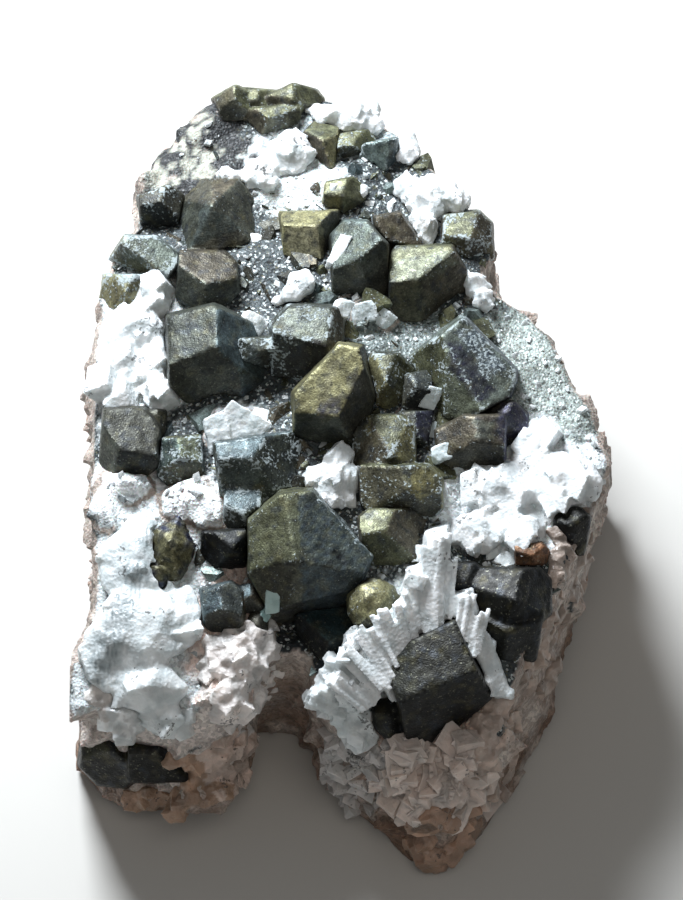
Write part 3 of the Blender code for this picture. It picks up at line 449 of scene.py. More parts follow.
# %% Calcite: scattered light, gloss that comes and goes, and crystal grains
CALCITE_IOR, LIGHT_DEPTH = 1.55, 1.2
GLOSS_WIDTH, GRAIN_WIDTH, WAVE_WIDTH, RELIEF = 1.1, 0.5, 0.7, 0.12
shader.inputs["IOR"].default_value = CALCITE_IOR
shader.inputs["Subsurface Weight"].default_value = 0.5
shader.inputs["Subsurface Radius"].default_value = (1.0, 0.95, 0.9)
shader.inputs["Subsurface Scale"].default_value = LIGHT_DEPTH * MM
cloud = add(tree, "ShaderNodeTexNoise", {"Vector": spot, "Scale": 1 / GLOSS_WIDTH, "Detail": 3.0})
gloss = add(tree, "ShaderNodeMapRange", {0: cloud, 1: 0.3, 2: 0.7, 3: 0.28, 4: 0.6}, **SOFT)
tree.links.new(gloss, shader.inputs["Roughness"])
cells = add(tree, "ShaderNodeTexVoronoi", {"Vector": spot, "Scale": 1 / GRAIN_WIDTH}, "Distance")
waves = add(tree, "ShaderNodeTexNoise", {"Vector": spot, "Scale": 1 / WAVE_WIDTH, "Detail": 3.0})
relief = add(tree, "ShaderNodeMath", {0: cells, 1: 0.7, 2: waves}, operation="MULTIPLY_ADD")
bumped = add(tree, "ShaderNodeBump", {"Height": relief, "Distance": RELIEF * MM})
tree.links.new(bumped, shader.inputs["Normal"])
print("made", spar.name, "with", len(tree.nodes), "nodes")

# %% [markdown]
# ## Finish: vein rock
# The block under the crystals is granular vein filling: pinkish calcite that is browner low on
# the broken walls, and fine dark ore grains with pale dust on top, between the crystals. To
# the eye it is matt and speckled, never one colour. Each grain could be a mesh, and the
# larger ones are, further down. The finest are cells of colour. The attribute `rock` gives
# each point its main colour, and `ore` says how much of it is ore.

# %% Vein rock: broad shades and grains
rock, tree, shader, spot = finish("vein_rock", 0.7)
SHADE_WIDTH, GRAIN_WIDTH = 3.0, 0.55
base = add(tree, "ShaderNodeAttribute", out="Color", attribute_name="rock")
cloud = add(tree, "ShaderNodeTexNoise", {"Vector": spot, "Scale": 1 / SHADE_WIDTH, "Detail": 5.0})
coarse = add(tree, "ShaderNodeMapRange", {0: cloud, 1: 0.3, 2: 0.7, 3: 0.78, 4: 1.14}, **SOFT)
toned = add(tree, "ShaderNodeMix", {0: 1.0, 6: base, 7: coarse}, 2, **TINTED)
cells = add(tree, "ShaderNodeTexVoronoi", {"Vector": spot, "Scale": 1 / GRAIN_WIDTH}, "Color")
grain = add(tree, "ShaderNodeSeparateColor", {0: cells})
grain = add(tree, "ShaderNodeMapRange", {0: grain, 3: 0.72, 4: 1.22}, **SOFT)
grained = add(tree, "ShaderNodeMix", {0: 1.0, 6: toned, 7: grain}, 2, **TINTED)
print("grains of the rock:", GRAIN_WIDTH, "mm")

# %% Vein rock: pale, dark and brassy flecks
FLECK_WIDTH = 0.3
share = add(tree, "ShaderNodeAttribute", out="Fac", attribute_name="ore")
cells = add(tree, "ShaderNodeTexVoronoi", {"Vector": spot, "Scale": 1 / FLECK_WIDTH}, "Color")
fleck = add(tree, "ShaderNodeSeparateColor", {0: cells}).node
pale = add(tree, "ShaderNodeMapRange", {0: fleck.outputs[0], 1: 0.8, 2: 0.94, 4: 0.7}, **SOFT)
pale = add(tree, "ShaderNodeMath", {0: pale, 1: share}, operation="MULTIPLY")
lightened = add(tree, "ShaderNodeMix", {0: pale, 6: grained, 7: linear("#d5dcda")}, 2, **COLOUR)
dark = add(tree, "ShaderNodeMapRange", {0: fleck.outputs[1], 1: 0.78, 2: 0.9}, **SOFT)
rich = add(tree, "ShaderNodeMapRange", {0: share, 3: 0.25, 4: 0.7}, **SOFT)
dark = add(tree, "ShaderNodeMath", {0: dark, 1: rich}, operation="MULTIPLY")
darkened = add(tree, "ShaderNodeMix", {0: dark, 6: lightened, 7: linear("#20211f")}, 2, **COLOUR)
brass = add(tree, "ShaderNodeMapRange", {0: fleck.outputs[2], 1: 0.93, 2: 0.98, 4: 0.5}, **SOFT)
brass = add(tree, "ShaderNodeMath", {0: brass, 1: share}, operation="MULTIPLY")
flecked = add(tree, "ShaderNodeMix", {0: brass, 6: darkened, 7: linear("#6f6b4c")}, 2, **COLOUR)
tree.links.new(flecked, shader.inputs["Base Color"])
print("flecks:", FLECK_WIDTH, "mm")

# %% Vein rock: gloss and relief
GLOSS_WIDTH, CRUMB_WIDTH, WAVE_WIDTH, RELIEF, LIGHT_DEPTH = 0.8, 0.4, 0.6, 0.16, 1.0
metal = add(tree, "ShaderNodeMapRange", {0: share, 4: 0.35}, **SOFT)
tree.links.new(metal, shader.inputs["Metallic"])
cloud = add(tree, "ShaderNodeTexNoise", {"Vector": spot, "Scale": 1 / GLOSS_WIDTH, "Detail": 3.0})
gloss = add(tree, "ShaderNodeMapRange", {0: cloud, 1: 0.3, 2: 0.7, 3: 0.45, 4: 0.8}, **SOFT)
tree.links.new(gloss, shader.inputs["Roughness"])
shader.inputs["Subsurface Weight"].default_value = 0.12
shader.inputs["Subsurface Scale"].default_value = LIGHT_DEPTH * MM
cells = add(tree, "ShaderNodeTexVoronoi", {"Vector": spot, "Scale": 1 / CRUMB_WIDTH}, "Distance")
waves = add(tree, "ShaderNodeTexNoise", {"Vector": spot, "Scale": 1 / WAVE_WIDTH, "Detail": 4.0})
relief = add(tree, "ShaderNodeMath", {0: cells, 1: 0.8, 2: waves}, operation="MULTIPLY_ADD")
bumped = add(tree, "ShaderNodeBump", {"Height": relief, "Distance": RELIEF * MM})
tree.links.new(bumped, shader.inputs["Normal"])
print("made", rock.name, "with", len(tree.nodes), "nodes")

# %% [markdown]
# ## Where things are on the sheet
# Patches of colour, dust and small crystals have to lie where they are on the real stone.
# They could be placed by their three coordinates, which nobody can read off a stone. The line
# of sight turns every point into a place on the sheet instead, so that two numbers are
# enough, and the third follows from the surface that the sight meets there.

# %% Places on the sheet


def on_sheet(spots):
    """Each point's place on the sheet: across to the right and along to the far end."""
    ray = spots - EYE
    reach = (ray @ TOWARDS) / -SIGHT_LENGTH
    hit = EYE + ray / reach[:, None]
    return np.column_stack([hit @ ACROSS, (hit - SHEET_CENTRE) @ ALONG])


def share_of(values):
    """Values cut off at 0 and at 1."""
    return np.clip(values, 0.0, 1.0)


def patch(sheet, centre, reach, edge=0.12, rag=0.0):
    """How far each place belongs to an oval patch, from 0 to 1."""
    across, along = ((sheet - centre) / reach).T
    away = np.hypot(across, along) + rag
    return share_of((1.0 + edge - away) / (2.0 * edge))


def inside(sheet, corners, soft=0.3):
    """How far each place lies inside an outline that runs clockwise, from 0 to 1."""
    share = np.ones(len(sheet))
    for start, end in zip(corners, corners[1:] + corners[:1]):
        way = np.subtract(end, start) / math.dist(start, end)
        away = (sheet - start) @ np.array([way[1], -way[0]])
        share = np.minimum(share, share_of(0.5 + away / soft))
    return share


print("the solids' far corner on the sheet:", on_sheet(HIGH[None, :])[0].round(1))

# %% Values that waver, and colours laid over each other
WAVES = 7


def waver(spots, size, seed):
    """A smooth value from about -1 to 1 that changes over about a size in millimetres."""
    draw = np.random.default_rng(seed)
    total = np.zeros(len(spots))
    for _ in range(WAVES):
        way = draw.normal(size=3)
        step = way / np.linalg.norm(way) * 2.0 * math.pi / size
        total += np.sin(spots @ step * draw.uniform(0.6, 1.6) + draw.uniform(0.0, 2.0 * math.pi))
    return total * 2.0 / WAVES


def overlay(under, over, share):
    """Colours with a share, from 0 to 1, of other colours laid over them."""
    return under * (1.0 - share[:, None]) + over * share[:, None]


def rgb(code):
    """The three parts of a hex code's colour, in linear light."""
    return np.array(linear(code)[:3])


def all_over(code, spots):
    """One colour for every point."""
    return np.tile(rgb(code), (len(spots), 1))


def nearest(centres, spots):
    """For each spot, the number of the nearest centre and how far away it is."""
    tree = KDTree(len(centres))
    for index, centre in enumerate(centres):
        tree.insert(centre, index)
    tree.balance()
    found = [tree.find(spot) for spot in spots]
    return np.array([row[1] for row in found]), np.array([row[2] for row in found])


print("waver at the middle:", waver(SHEET_CENTRE[None, :], 5.0, 1).round(2))

# %% [markdown]
# ## Small crystals and broken chips
# Between the large crystals the ground is crusted with small ones. They are tetrahedra with
# cut corners, as the mineral's name says. Every calcite mass is broken into cleavage blocks,
# bodies with three pairs of parallel faces that lean about 15 degrees, because that is how
# calcite's layers are stacked. Thousands of them can't be modelled one by one, and a particle
# system would leave them unmerged. A few kinds are modelled once, from a cube that is cut in
# edit mode. Each copy gets its own size and turn, and the copies of one crust are joined.

# %% Cut the kinds from a cube


def cut_cube(*cuts):
    """The points and faces of a cube cut by planes. Each cut is a point and a direction."""
    bpy.ops.object.select_all(action="DESELECT")
    bpy.ops.mesh.primitive_cube_add(size=1.0)
    body = bpy.context.object
    bpy.ops.object.mode_set(mode="EDIT")
    for point, way in cuts:
        bpy.ops.mesh.select_all(action="SELECT")
        bpy.ops.mesh.bisect(plane_co=point, plane_no=way, use_fill=True, clear_outer=True)
    bpy.ops.object.mode_set(mode="OBJECT")
    points = np.array([v.co for v in body.data.vertices])
    faces = [tuple(face.vertices) for face in body.data.polygons]
    bpy.data.objects.remove(body, do_unlink=True)
    return points, faces


SPAR_KINDS = [
    cut_cube(),
    cut_cube(((0.34, 0.34, 0.34), (1.0, 0.8, 0.9))),
    cut_cube(((0.3, 0.0, 0.38), (0.7, 0.1, 1.0)), ((-0.4, -0.3, 0.0), (-1.0, -0.7, 0.2))),
]
# Four of a cube's corners are cut off: a little leaves a block, and a lot a tetrahedron
CORNERS = [(x, y, x * y) for x in (-1, 1) for y in (-1, 1)]
ORE_KINDS = [
    cut_cube(*[(tuple(depth * part for part in corner), corner) for corner in CORNERS])
    for depth in (0.04, 0.13, 0.29)
]
LEANING = np.array([[1.0, 0.0, 0.0], [0.24, 0.97, 0.0], [0.2, 0.22, 0.95]])
print("faces of the kinds:", [len(kind[1]) for kind in SPAR_KINDS + ORE_KINDS])

# %% Strew copies of them, and join pieces
# How many random points are tried for each one that is wanted
TRIES = 12


def turned(rng, spread=180.0, base=(0.0, 0.0, 0.0)):
    """A turn, with a random part of up to a spread in degrees about each axis."""
    angles = [math.radians(part + rng.uniform(-spread, spread)) for part in base]
    return np.array(Euler(angles).to_matrix())


def strew(name, kinds, copies, lattice=np.eye(3)):
    """One mesh of many bodies. A copy is a kind's number, a place, three sizes and a turn."""
    points, faces, owner, start = [], [], [], 0
    for index, (kind, spot, size, turn) in enumerate(copies):
        shape, loops = kinds[kind]
        points.append((shape * size) @ lattice @ turn.T + spot)
        faces += [tuple(start + corner for corner in loop) for loop in loops]
        owner += [index] * len(shape)
        start += len(shape)
    mesh = bpy.data.meshes.new(name)
    mesh.from_pydata((np.vstack(points) * MM).tolist(), [], faces)
    piece = bpy.data.objects.new(name, mesh)
    bpy.context.scene.collection.objects.link(piece)
    return piece, np.array(owner)


def middles(copies):
    """The places of copies."""
    return [middle for _, middle, _, _ in copies]


def join(piece, other):
    """Joins another piece into one."""
    only(piece)
    other.select_set(True)
    bpy.ops.object.join()


def spots_on(piece, count, rng, keep):
    """Random points on a piece, evenly by area, where keep(point, direction) is true."""
    faces = piece.data.polygons
    areas = np.empty(len(faces), np.float32)
    faces.foreach_get("area", areas)
    reach = np.cumsum(areas)
    found = []
    for _ in range(count * TRIES):
        face = faces[int(np.searchsorted(reach, rng.random() * reach[-1]))]
        spot, normal = np.array(face.center) / MM, np.array(face.normal)
        if keep(spot, normal):
            found.append((spot, normal))
        if len(found) == count:
            break
    return found


def break_up(piece, places_and_ways, rng, sizes, sink, base, spread, kinds=3):
    """Joins cleavage blocks onto a piece, each sunk into it by a share of its thickness."""
    copies = []
    for spot, normal in places_and_ways:
        length = rng.uniform(*sizes)
        breadth, thick = length * rng.uniform(0.6, 0.95), length * rng.uniform(0.4, 0.75)
        middle, size = spot - normal * thick * sink, np.array([length, breadth, thick])
        copies.append((rng.randrange(kinds), middle, size, turned(rng, spread, base)))
    join(piece, strew("chunks", SPAR_KINDS, copies, LEANING)[0])
    return middles(copies)


print("calcite's layers lean", round(math.degrees(math.atan(LEANING[1][0] / LEANING[1][1]))), "degrees")

# %% [markdown]
# ## The block of vein rock
# The walls are broken pinkish calcite with blocky steps, and the top is finer: packed grains
# of ore and calcite. Noise alone would make the walls look like clay, because broken calcite
# has flat faces. So cleavage blocks are sunk into the walls, large ones first, and a second
# remesh grows them together. Finer grains follow.

# %% Shape of the block
GAP_BETWEEN_FEET = np.array([(-12.0, -52.0, -2.0), (-3.8, -35.0, 40.0)])
STEEPEST, FLATTEST, TABLE = -0.75, 0.55, 1.5


def on_wall(spot, normal):
    """True on a wall, away from the table and from the gap between the feet."""
    in_gap = np.all(spot > GAP_BETWEEN_FEET[0]) and np.all(spot < GAP_BETWEEN_FEET[1])
    return STEEPEST < normal[2] < FLATTEST and spot[2] > TABLE and not in_gap


FIRST_GRAIN, GRAIN = 0.8, 0.57
BLOCKS, LARGE, TURN_OF_LAYERS = 1100, 420, (20, 35, 15)
block = clay_copy("matrix", FIRST_GRAIN)
sculpt(block, ("swell", 6.0, 0.4), raised=0.3)
rng = random.Random(3)
wall_spots = spots_on(block, BLOCKS, rng, on_wall)
for where, sizes, sink, spread in (
    (wall_spots[:LARGE], (3.0, 8.0), 0.78, 22.0),
    (wall_spots[LARGE:], (1.2, 3.2), 0.55, 30.0),
):
    break_up(block, where, rng, sizes, sink, TURN_OF_LAYERS, spread, kinds=2)
remesh(block, GRAIN)
sculpt(block, ("grains", 1.0, 0.22), ("swell", 0.8, 0.10))
print("blocks in the walls:", len(wall_spots), "faces:", len(block.data.polygons))

# %% [markdown]
# ## Colours of the block
# Low on the walls the calcite is darker and browner, and higher up it is pinkish and pale.
# On top, each patch of the ground has its own colour and its own share of ore grains. Where
# the far left corner is broken, cream calcite is veined with dark ore. One noise for all of
# it would look the same everywhere, so the patches are placed on the sheet one by one.

# %% Patches of the ground
ROCK_PATCHES = (
    # centre on the sheet, reach, colour, share of ore, share of small crystals
    ((-20.4, 41.0), (8.5, 8.0), "#a3a497", 0.1, 0.02),
    ((-7.0, 39.0), (7.5, 6.0), "#d9e0e0", 0.2, 0.1),
    ((3.0, 44.5), (8.0, 4.0), "#aab4b6", 0.5, 0.5),
    ((27.6, 9.5), (9.5, 13.0), "#98a19c", 0.75, 0.03),
    ((6.7, 16.5), (8.5, 4.5), "#727b79", 0.8, 0.3),
    ((-28.7, 13.5), (7.5, 11.5), "#e6ecec", 0.05, 0.0),
    ((-30.0, -5.8), (5.5, 4.6), "#f0f4f4", 0.0, 0.0),
    ((-20.4, -8.2), (7.0, 4.6), "#f2f6f6", 0.0, 0.0),
    ((-14.4, 3.0), (4.6, 3.4), "#e8eeee", 0.05, 0.1),
    ((-28.0, -26.0), (11.0, 17.0), "#d3dadb", 0.02, 0.0),
    ((-14.8, -27.8), (6.5, 10.5), "#c6b1a6", 0.0, 0.0),
    ((25.5, -5.6), (12.5, 9.0), "#e2e8ea", 0.0, 0.0),
    ((8.0, -27.0), (8.0, 9.5), "#dde3e3", 0.0, 0.0),
    ((12.3, -43.0), (8.5, 8.0), "#c3a79a", 0.0, 0.0),
    # The last two patches, low at the front, are near-black: ore-rich ground, and painted shade where
    # the stone lies in shade.
    ((-4.4, -29.0), (6.0, 7.0), "#1f2527", 0.9, 0.8),
    ((22.5, -22.0), (7.0, 6.5), "#34322c", 0.9, 0.6),
)
GROUND = "#41484a"
spots = places(block)
sheet = on_sheet(spots)
rag = waver(spots, 5.0, 1) * 0.16 + waver(spots, 1.8, 2) * 0.12
colour, ore_share = all_over(GROUND, spots), np.ones(len(spots))
for centre, reach, code, part, _ in ROCK_PATCHES:
    belongs = patch(sheet, centre, reach, rag=rag)
    colour = overlay(colour, rgb(code), belongs)
    ore_share = ore_share * (1.0 - belongs) + part * belongs
print("mean share of ore on the ground:", round(float(ore_share.mean()), 2))

# %% Walls: pinkish, brown low down, pale in places, snowy over the left foot
BROWN_HEIGHT, BROWN_FADE = 10.0, 20.0
FOOT_CENTRE, FOOT_REACH = (-24.0, -36.0), (12.0, 13.0)
height = spots[:, 2]
brown = share_of(0.5 + waver(spots, 9.0, 3) * 0.6 - (height - BROWN_HEIGHT) / BROWN_FADE)
pale = share_of(waver(spots, 7.0, 4) * 1.2 - 0.2)
wall = overlay(all_over("#a89b91", spots), rgb("#7c6250"), brown)
wall = overlay(wall, rgb("#cfc6bd"), pale * 0.6)
snowy = patch(sheet, FOOT_CENTRE, FOOT_REACH, 0.3, rag) * share_of((height - 6.0) / 10.0)
wall = overlay(wall, rgb("#d9d0ca"), snowy * 0.75)
print("share of the walls that is brown:", round(float(brown.mean()), 2))

# %% The ground lies over the walls where the measured solid is level enough
LEAST_LEVEL, LOWEST_GROUND = 0.3, 14.0
ground = solid_faces("matrix")
level = np.array([ground.find_nearest(vertex.co)[1].z for vertex in block.data.vertices])
top = share_of((level - LEAST_LEVEL) / 0.3 + rag) * share_of((height - LOWEST_GROUND) / 6.0)
colour = overlay(wall, colour, top)
print("share of the block that is ground:", round(float(top.mean()), 2))

# %% Dark veins through the broken far left corner
CORNER_CENTRE, CORNER_REACH, CORNER_FOOT = (-20.4, 41.0), (9.0, 9.5), 25.0
mottled = patch(sheet, CORNER_CENTRE, CORNER_REACH, rag=rag)
mottled = mottled * share_of((height - CORNER_FOOT) / 6.0 + rag)
crossed = waver(spots, 6.5, 11) + 0.45 * waver(spots, 2.2, 12)
vein = share_of(1.7 - np.abs(crossed) / 0.24)
pocket = share_of((waver(spots, 7.0, 13) + 0.3 * waver(spots, 1.8, 14) - 0.2) / 0.12)
vein = np.maximum(vein, pocket) * mottled
colour = overlay(colour, rgb("#15181a"), vein)
paint(block, "rock", colour)
weigh(block, "ore", ore_share * top)
settle(block, "vein_rock", rock, "matrix", smooth=25)
print("veined share of the corner:", round(float(vein.sum() / mottled.sum()), 2))

# %% [markdown]
# ## The crystals
# The real crystals have flat faces that were never quite flat: they grew in fine steps, and
# their edges are worn bright. A bevel would wear every edge alike. A fine remesh rounds them
# a little, a soft swell and stretched steps take away the machine flatness, and every face of
# the measured solid gives its points a tarnish of its own. That colour also holds painted
# shade and light: darker on faces that look to the front, lighter on those that look far, left or up.

# %% Colours of tarnish, and near-black ones for painted shade
PALETTE = {
    "olive": "#585a44", "brass": "#7b7859", "steel": "#434f52", "brown": "#4a453a", "umber": "#3b3b35",
    "black": "#1a1c1c", "violet": "#33344a", "teal": "#2b3d40", "pale": "#6a7673", "grey": "#40443d",
    "ink": "#131310", "dusk": "#171711",
}
print("tarnish colours:", len(PALETTE))

# %% Tarnish and painted shade of each crystal: colour of the faces that look far, left, front and right, and dust
# The front colour is the darkest and the far and left ones the lightest: painted shade and light, as
# from the lamp high behind at the left, laid over the real tarnish.
CRYSTALS = {
    "far_crest": ("olive brown umber olive", 0.2), "olive_blade": ("olive brown umber brass", 0.1),
    "grained_ledge": ("olive brass umber olive", 0.3), "pale_wedge": ("pale pale steel steel", 0.35),
    "olive_knob": ("olive brass umber olive", 0.1), "upper_left": ("brown grey steel grey", 0.12),
    "left_edge_far": ("umber umber black umber", 0.3), "left_edge": ("pale brass umber grey", 0.55),
    "olive_square": ("brass brass brass umber", 0.1), "centre_far": ("pale grey umber brown", 0.12),
    "brown_table": ("brown brown black brown", 0.15), "right_far": ("olive grey brown brown", 0.12),
    "right_rim": ("olive brown umber brown", 0.45), "left_hero": ("grey grey umber steel", 0.05),
    "crusted": ("grey grey umber brown", 0.42), "brassy_blade": ("brass brass grey umber", 0.1),
    "brassy_round": ("grey brass brass olive", 0.3), "right_hero": ("pale olive umber violet", 0.38),
    "right_group": ("brown brown umber violet", 0.15), "small_dark": ("grey umber black violet", 0.3),
    "centre": ("olive brown umber brass", 0.35), "ridge_brown": ("olive brown olive brown", 0.15),
    "great": ("olive olive umber steel", 0.15), "ball": ("brass brass ink olive", 0.15),
    # These crystals and right_shoulder, right_edge, shadowed and lower_left below lie low at the front
    # and are near-black on every side: partly their own dark colour, partly painted shade.
    "recess": ("teal black black teal", 0.0), "block": ("dusk dusk black ink", 0.0),
    "right_shoulder": ("ink dusk black black", 0.0), "right_edge": ("ink ink black ink", 0.0),
    "left_dark": ("umber grey black umber", 0.05), "teal": ("olive teal umber steel", 0.4),
    "dusted": ("steel grey grey grey", 0.5), "shadowed": ("black ink black black", 0.0),
    "silvery": ("steel steel umber brown", 0.15), "foot_speck": ("umber brown black umber", 0.0),
    "lower_left": ("ink dusk ink black", 0.0),
}
print("crystals:", len(CRYSTALS))

# %% [markdown]
# ## Marks on single crystals
# Some crystals have a face, a crack or a crust that no other one has: a blue-grey triangle, a
# violet strip, a line of white crust along a ridge. Each could be a piece of its own, but it
# is only colour and dust on the same face. So it is an outline on the sheet.

# %% Marks: crystal, colour or none, dust, and outline on the sheet, clockwise
MARKS = (
    ("upper_left", "#5a6461", 0.0, ((-19.0, 34.3), (-13.7, 30.7), (-21.3, 28.1))),
    # Near-black thin marks, here and below on great, ball and right_far, are painted shade along cracks
    # and creases.
    ("upper_left", "#0e1011", 0.0, ((-16.6, 28.4), (-13.6, 29.5), (-13.7, 28.8), (-17.7, 27.2))),
    ("left_edge", "#6d7168", 0.4, ((-33.0, 29.2), (-28.0, 29.2), (-25.2, 26.1), (-30.5, 26.7))),
    ("left_edge", "#7f7b5c", 0.3, ((-33.0, 22.9), (-27.7, 23.6), (-28.0, 18.9), (-33.0, 18.9))),
    ("crusted", "#6d7573", 0.3, ((-12.7, 15.3), (-10.8, 11.7), (-13.7, 11.3))),
    ("crusted", "#2b2823", 0.0, ((-7.4, 14.7), (-1.6, 15.0), (-2.7, 10.0), (-7.7, 10.8))),
    ("crusted", None, 0.7, ((-11.1, 18.3), (-5.8, 14.6), (-6.0, 14.2), (-11.3, 17.8))),
    ("crusted", None, 0.7, ((-11.1, 11.7), (-7.2, 13.6), (-7.0, 13.2), (-10.9, 11.1))),
    ("left_hero", "#46525a", 0.0, ((-13.7, 8.9), (-11.1, 9.2), (-11.1, 5.6), (-14.1, 5.3))),
    ("brassy_blade", "#504f58", 0.1, ((-3.3, 7.0), (0.1, 8.1), (-0.5, 5.0), (-3.8, 4.4))),
    ("brassy_blade", "#54544f", 0.1, ((0.6, 10.3), (2.3, 11.7), (2.8, 8.3), (1.2, 7.2))),
    ("brassy_blade", "#8e8b70", 0.0, ((-1.6, 12.2), (0.3, 13.1), (-2.2, 7.0), (-3.8, 6.4))),
    ("right_hero", "#37384a", 0.1,
     ((14.5, 15.6), (16.7, 14.6), (21.2, 8.1), (19.3, 6.5), (15.4, 10.8))),
    ("right_hero", None, 0.7, ((13.8, 15.6), (14.2, 15.6), (19.3, 7.1), (19.0, 6.8))),
    ("right_hero", "#56616c", 0.55, ((15.9, 16.4), (18.7, 17.0), (22.9, 11.4), (20.1, 9.7))),
    ("right_group", "#6c7066", 0.1, ((18.7, 4.2), (21.2, 4.0), (21.1, 1.4), (18.7, 1.7))),
    ("right_group", "#3a3a4c", 0.1, ((21.6, 6.7), (25.6, 6.4), (25.1, 1.7), (21.8, 1.7))),
    ("centre", "#7d774f", 0.1,
     ((9.7, -3.3), (11.2, -2.6), (12.9, -3.3), (12.9, -5.8), (11.2, -7.0), (9.7, -6.1))),
    ("great", "#424e54", 0.1, ((-6.3, -6.5), (-1.6, -6.5), (4.5, -15.3), (3.4, -21.7), (-5.2, -22.5))),
    ("great", "#0d0f10", 0.0, ((-9.7, -15.3), (-5.8, -16.3), (-5.8, -16.7), (-9.8, -15.7))),
    ("great", "#0d0f10", 0.0, ((-1.6, -14.0), (0.8, -15.2), (0.6, -15.6), (-1.7, -14.5))),
    ("great", None, 0.6, ((-3.3, -5.8), (4.5, -14.7), (4.1, -15.2), (-3.7, -6.3))),
    ("ball", "#0f0f0d", 0.0, ((1.0, -17.5), (5.9, -17.7), (5.9, -18.2), (1.0, -18.1))),
    ("centre_far", "#5b6359", 0.3, ((-0.2, 31.7), (4.2, 30.9), (3.4, 26.1), (-0.2, 26.1))),
    ("right_far", "#6b6f5e", 0.25,
     ((7.0, 26.1), (13.7, 27.8), (16.7, 26.1), (12.3, 23.9), (7.0, 23.1))),
    ("right_far", "#12130f", 0.0, ((10.8, 23.9), (11.2, 23.9), (11.2, 16.7), (10.8, 16.7))),
    ("block", "#2e2f26", 0.0, ((6.5, -27.8), (10.2, -26.4), (10.2, -33.4), (7.0, -34.8))),
    ("lower_left", "#34341f", 0.0, ((-36.1, -38.6), (-33.0, -38.4), (-32.5, -42.5), (-35.8, -43.1))),
    ("olive_square", "#aaa688", 0.0, ((-7.7, 30.9), (-2.7, 31.1), (-2.7, 26.1), (-7.7, 25.9))),
)
print("marks:", len(MARKS))

# %% Which face a point lies on, and how far it is from an edge
SHARP = math.radians(12)
MARK_STEP = 0.4
# A face's number is drawn from its direction alone, so it comes out the same each time
DIRECTION_STEPS, DIRECTION_KEY, SCRAMBLE = 12.0, np.array([1.0, 37.0, 1369.0]), 43758.5453


def faces_of(piece, node):
    """For each point, the direction of the measured face below it, and that face's number."""
    solid = solid_faces(node)
    normals = np.array([solid.find_nearest(vertex.co)[1] for vertex in piece.data.vertices])
    key = np.round(normals * DIRECTION_STEPS) @ DIRECTION_KEY
    return normals, np.modf(np.abs(np.sin(key) * SCRAMBLE))[0]


def edge_distance(piece, node):
    """How far each point is from the nearest sharp edge of its measured solid, in millimetres."""
    shape = bmesh.new()
    shape.from_mesh(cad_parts[node].data)
    bmesh.ops.remove_doubles(shape, verts=shape.verts, dist=MERGE * MM)
    marks = []
    for edge in shape.edges:
        if len(edge.link_faces) == 2 and edge.calc_face_angle(0.0) > SHARP:
            start, end = (corner.co / MM for corner in edge.verts)
            parts = max(1, math.ceil((end - start).length / MARK_STEP))
            marks += [start.lerp(end, index / parts) for index in range(parts + 1)]
    shape.free()
    return nearest(marks, places(piece))[1]


print("an edge is sharp from", round(math.degrees(SHARP)), "degrees")

# %% Tarnish, with painted shade and light by the way a face leans, worn edges, dust
WORN, CRUSTED = 0.35, 0.55
MARK_RAG = 0.4


def tarnish_and_shade_of(normals, drawn, colours):
    """Blends the four colours by the way a face leans, which paints shade on faces that look to the
    front and light on faces that look far, left or up, and makes each face paler or darker.
    """
    tones = np.array([rgb(PALETTE[name]) for name in colours.split()])
    across, along = normals @ ACROSS, normals @ ALONG
    leaning = np.column_stack([along, -across, -along, across])
    shares = share_of(leaning) ** 3 + 0.001
    # Faces that look up towards the eye take more of the far and left colours: painted light from
    # above.
    shares[:, :2] += share_of(normals @ TOWARDS)[:, None] ** 6 * 0.1
    shares /= shares.sum(axis=1)[:, None]
    return (shares @ tones) * (0.75 + 0.5 * drawn)[:, None]


def age(piece, node, name, colours, dust):
    """Tarnish with painted shade and light by the way faces lean, worn bright edges, dust and marks for
    a crystal.
    """
    # Tarnish with painted shade on front faces and painted light on far, left and upper faces
    tone = tarnish_and_shade_of(*faces_of(piece, node), colours)
    spots = places(piece)
    away = edge_distance(piece, node)
    worn = share_of(1.0 - away / WORN) * share_of(0.5 + waver(spots, 2.5, 9))
    tone = tone * (1.0 + 0.8 * worn)[:, None]
    edge = share_of(1.2 - away / CRUSTED) * share_of(0.5 + 0.7 * waver(spots, 3.0, 5))
    cover = dust * (0.6 + 0.5 * waver(spots, 4.0, len(name))) + edge * (0.12 + dust)
    shift = np.column_stack([waver(spots, 2.4, 21), waver(spots, 2.4, 22)])
    ragged = on_sheet(spots) + shift * MARK_RAG
    for owner, code, dusting, corners in MARKS:
        if owner == name:
            belongs = inside(ragged, corners) * (0.75 + 0.25 * waver(spots, 1.2, 23))
            tone = overlay(tone, rgb(code) * 0.75, belongs) if code else tone
            cover = cover * (1.0 - belongs) + dusting * belongs
    paint(piece, "tarnish", tone)
    weigh(piece, "dust", cover)


print("worn edges are", WORN, "mm wide, crusted ones", round(1.2 * CRUSTED, 2), "mm")

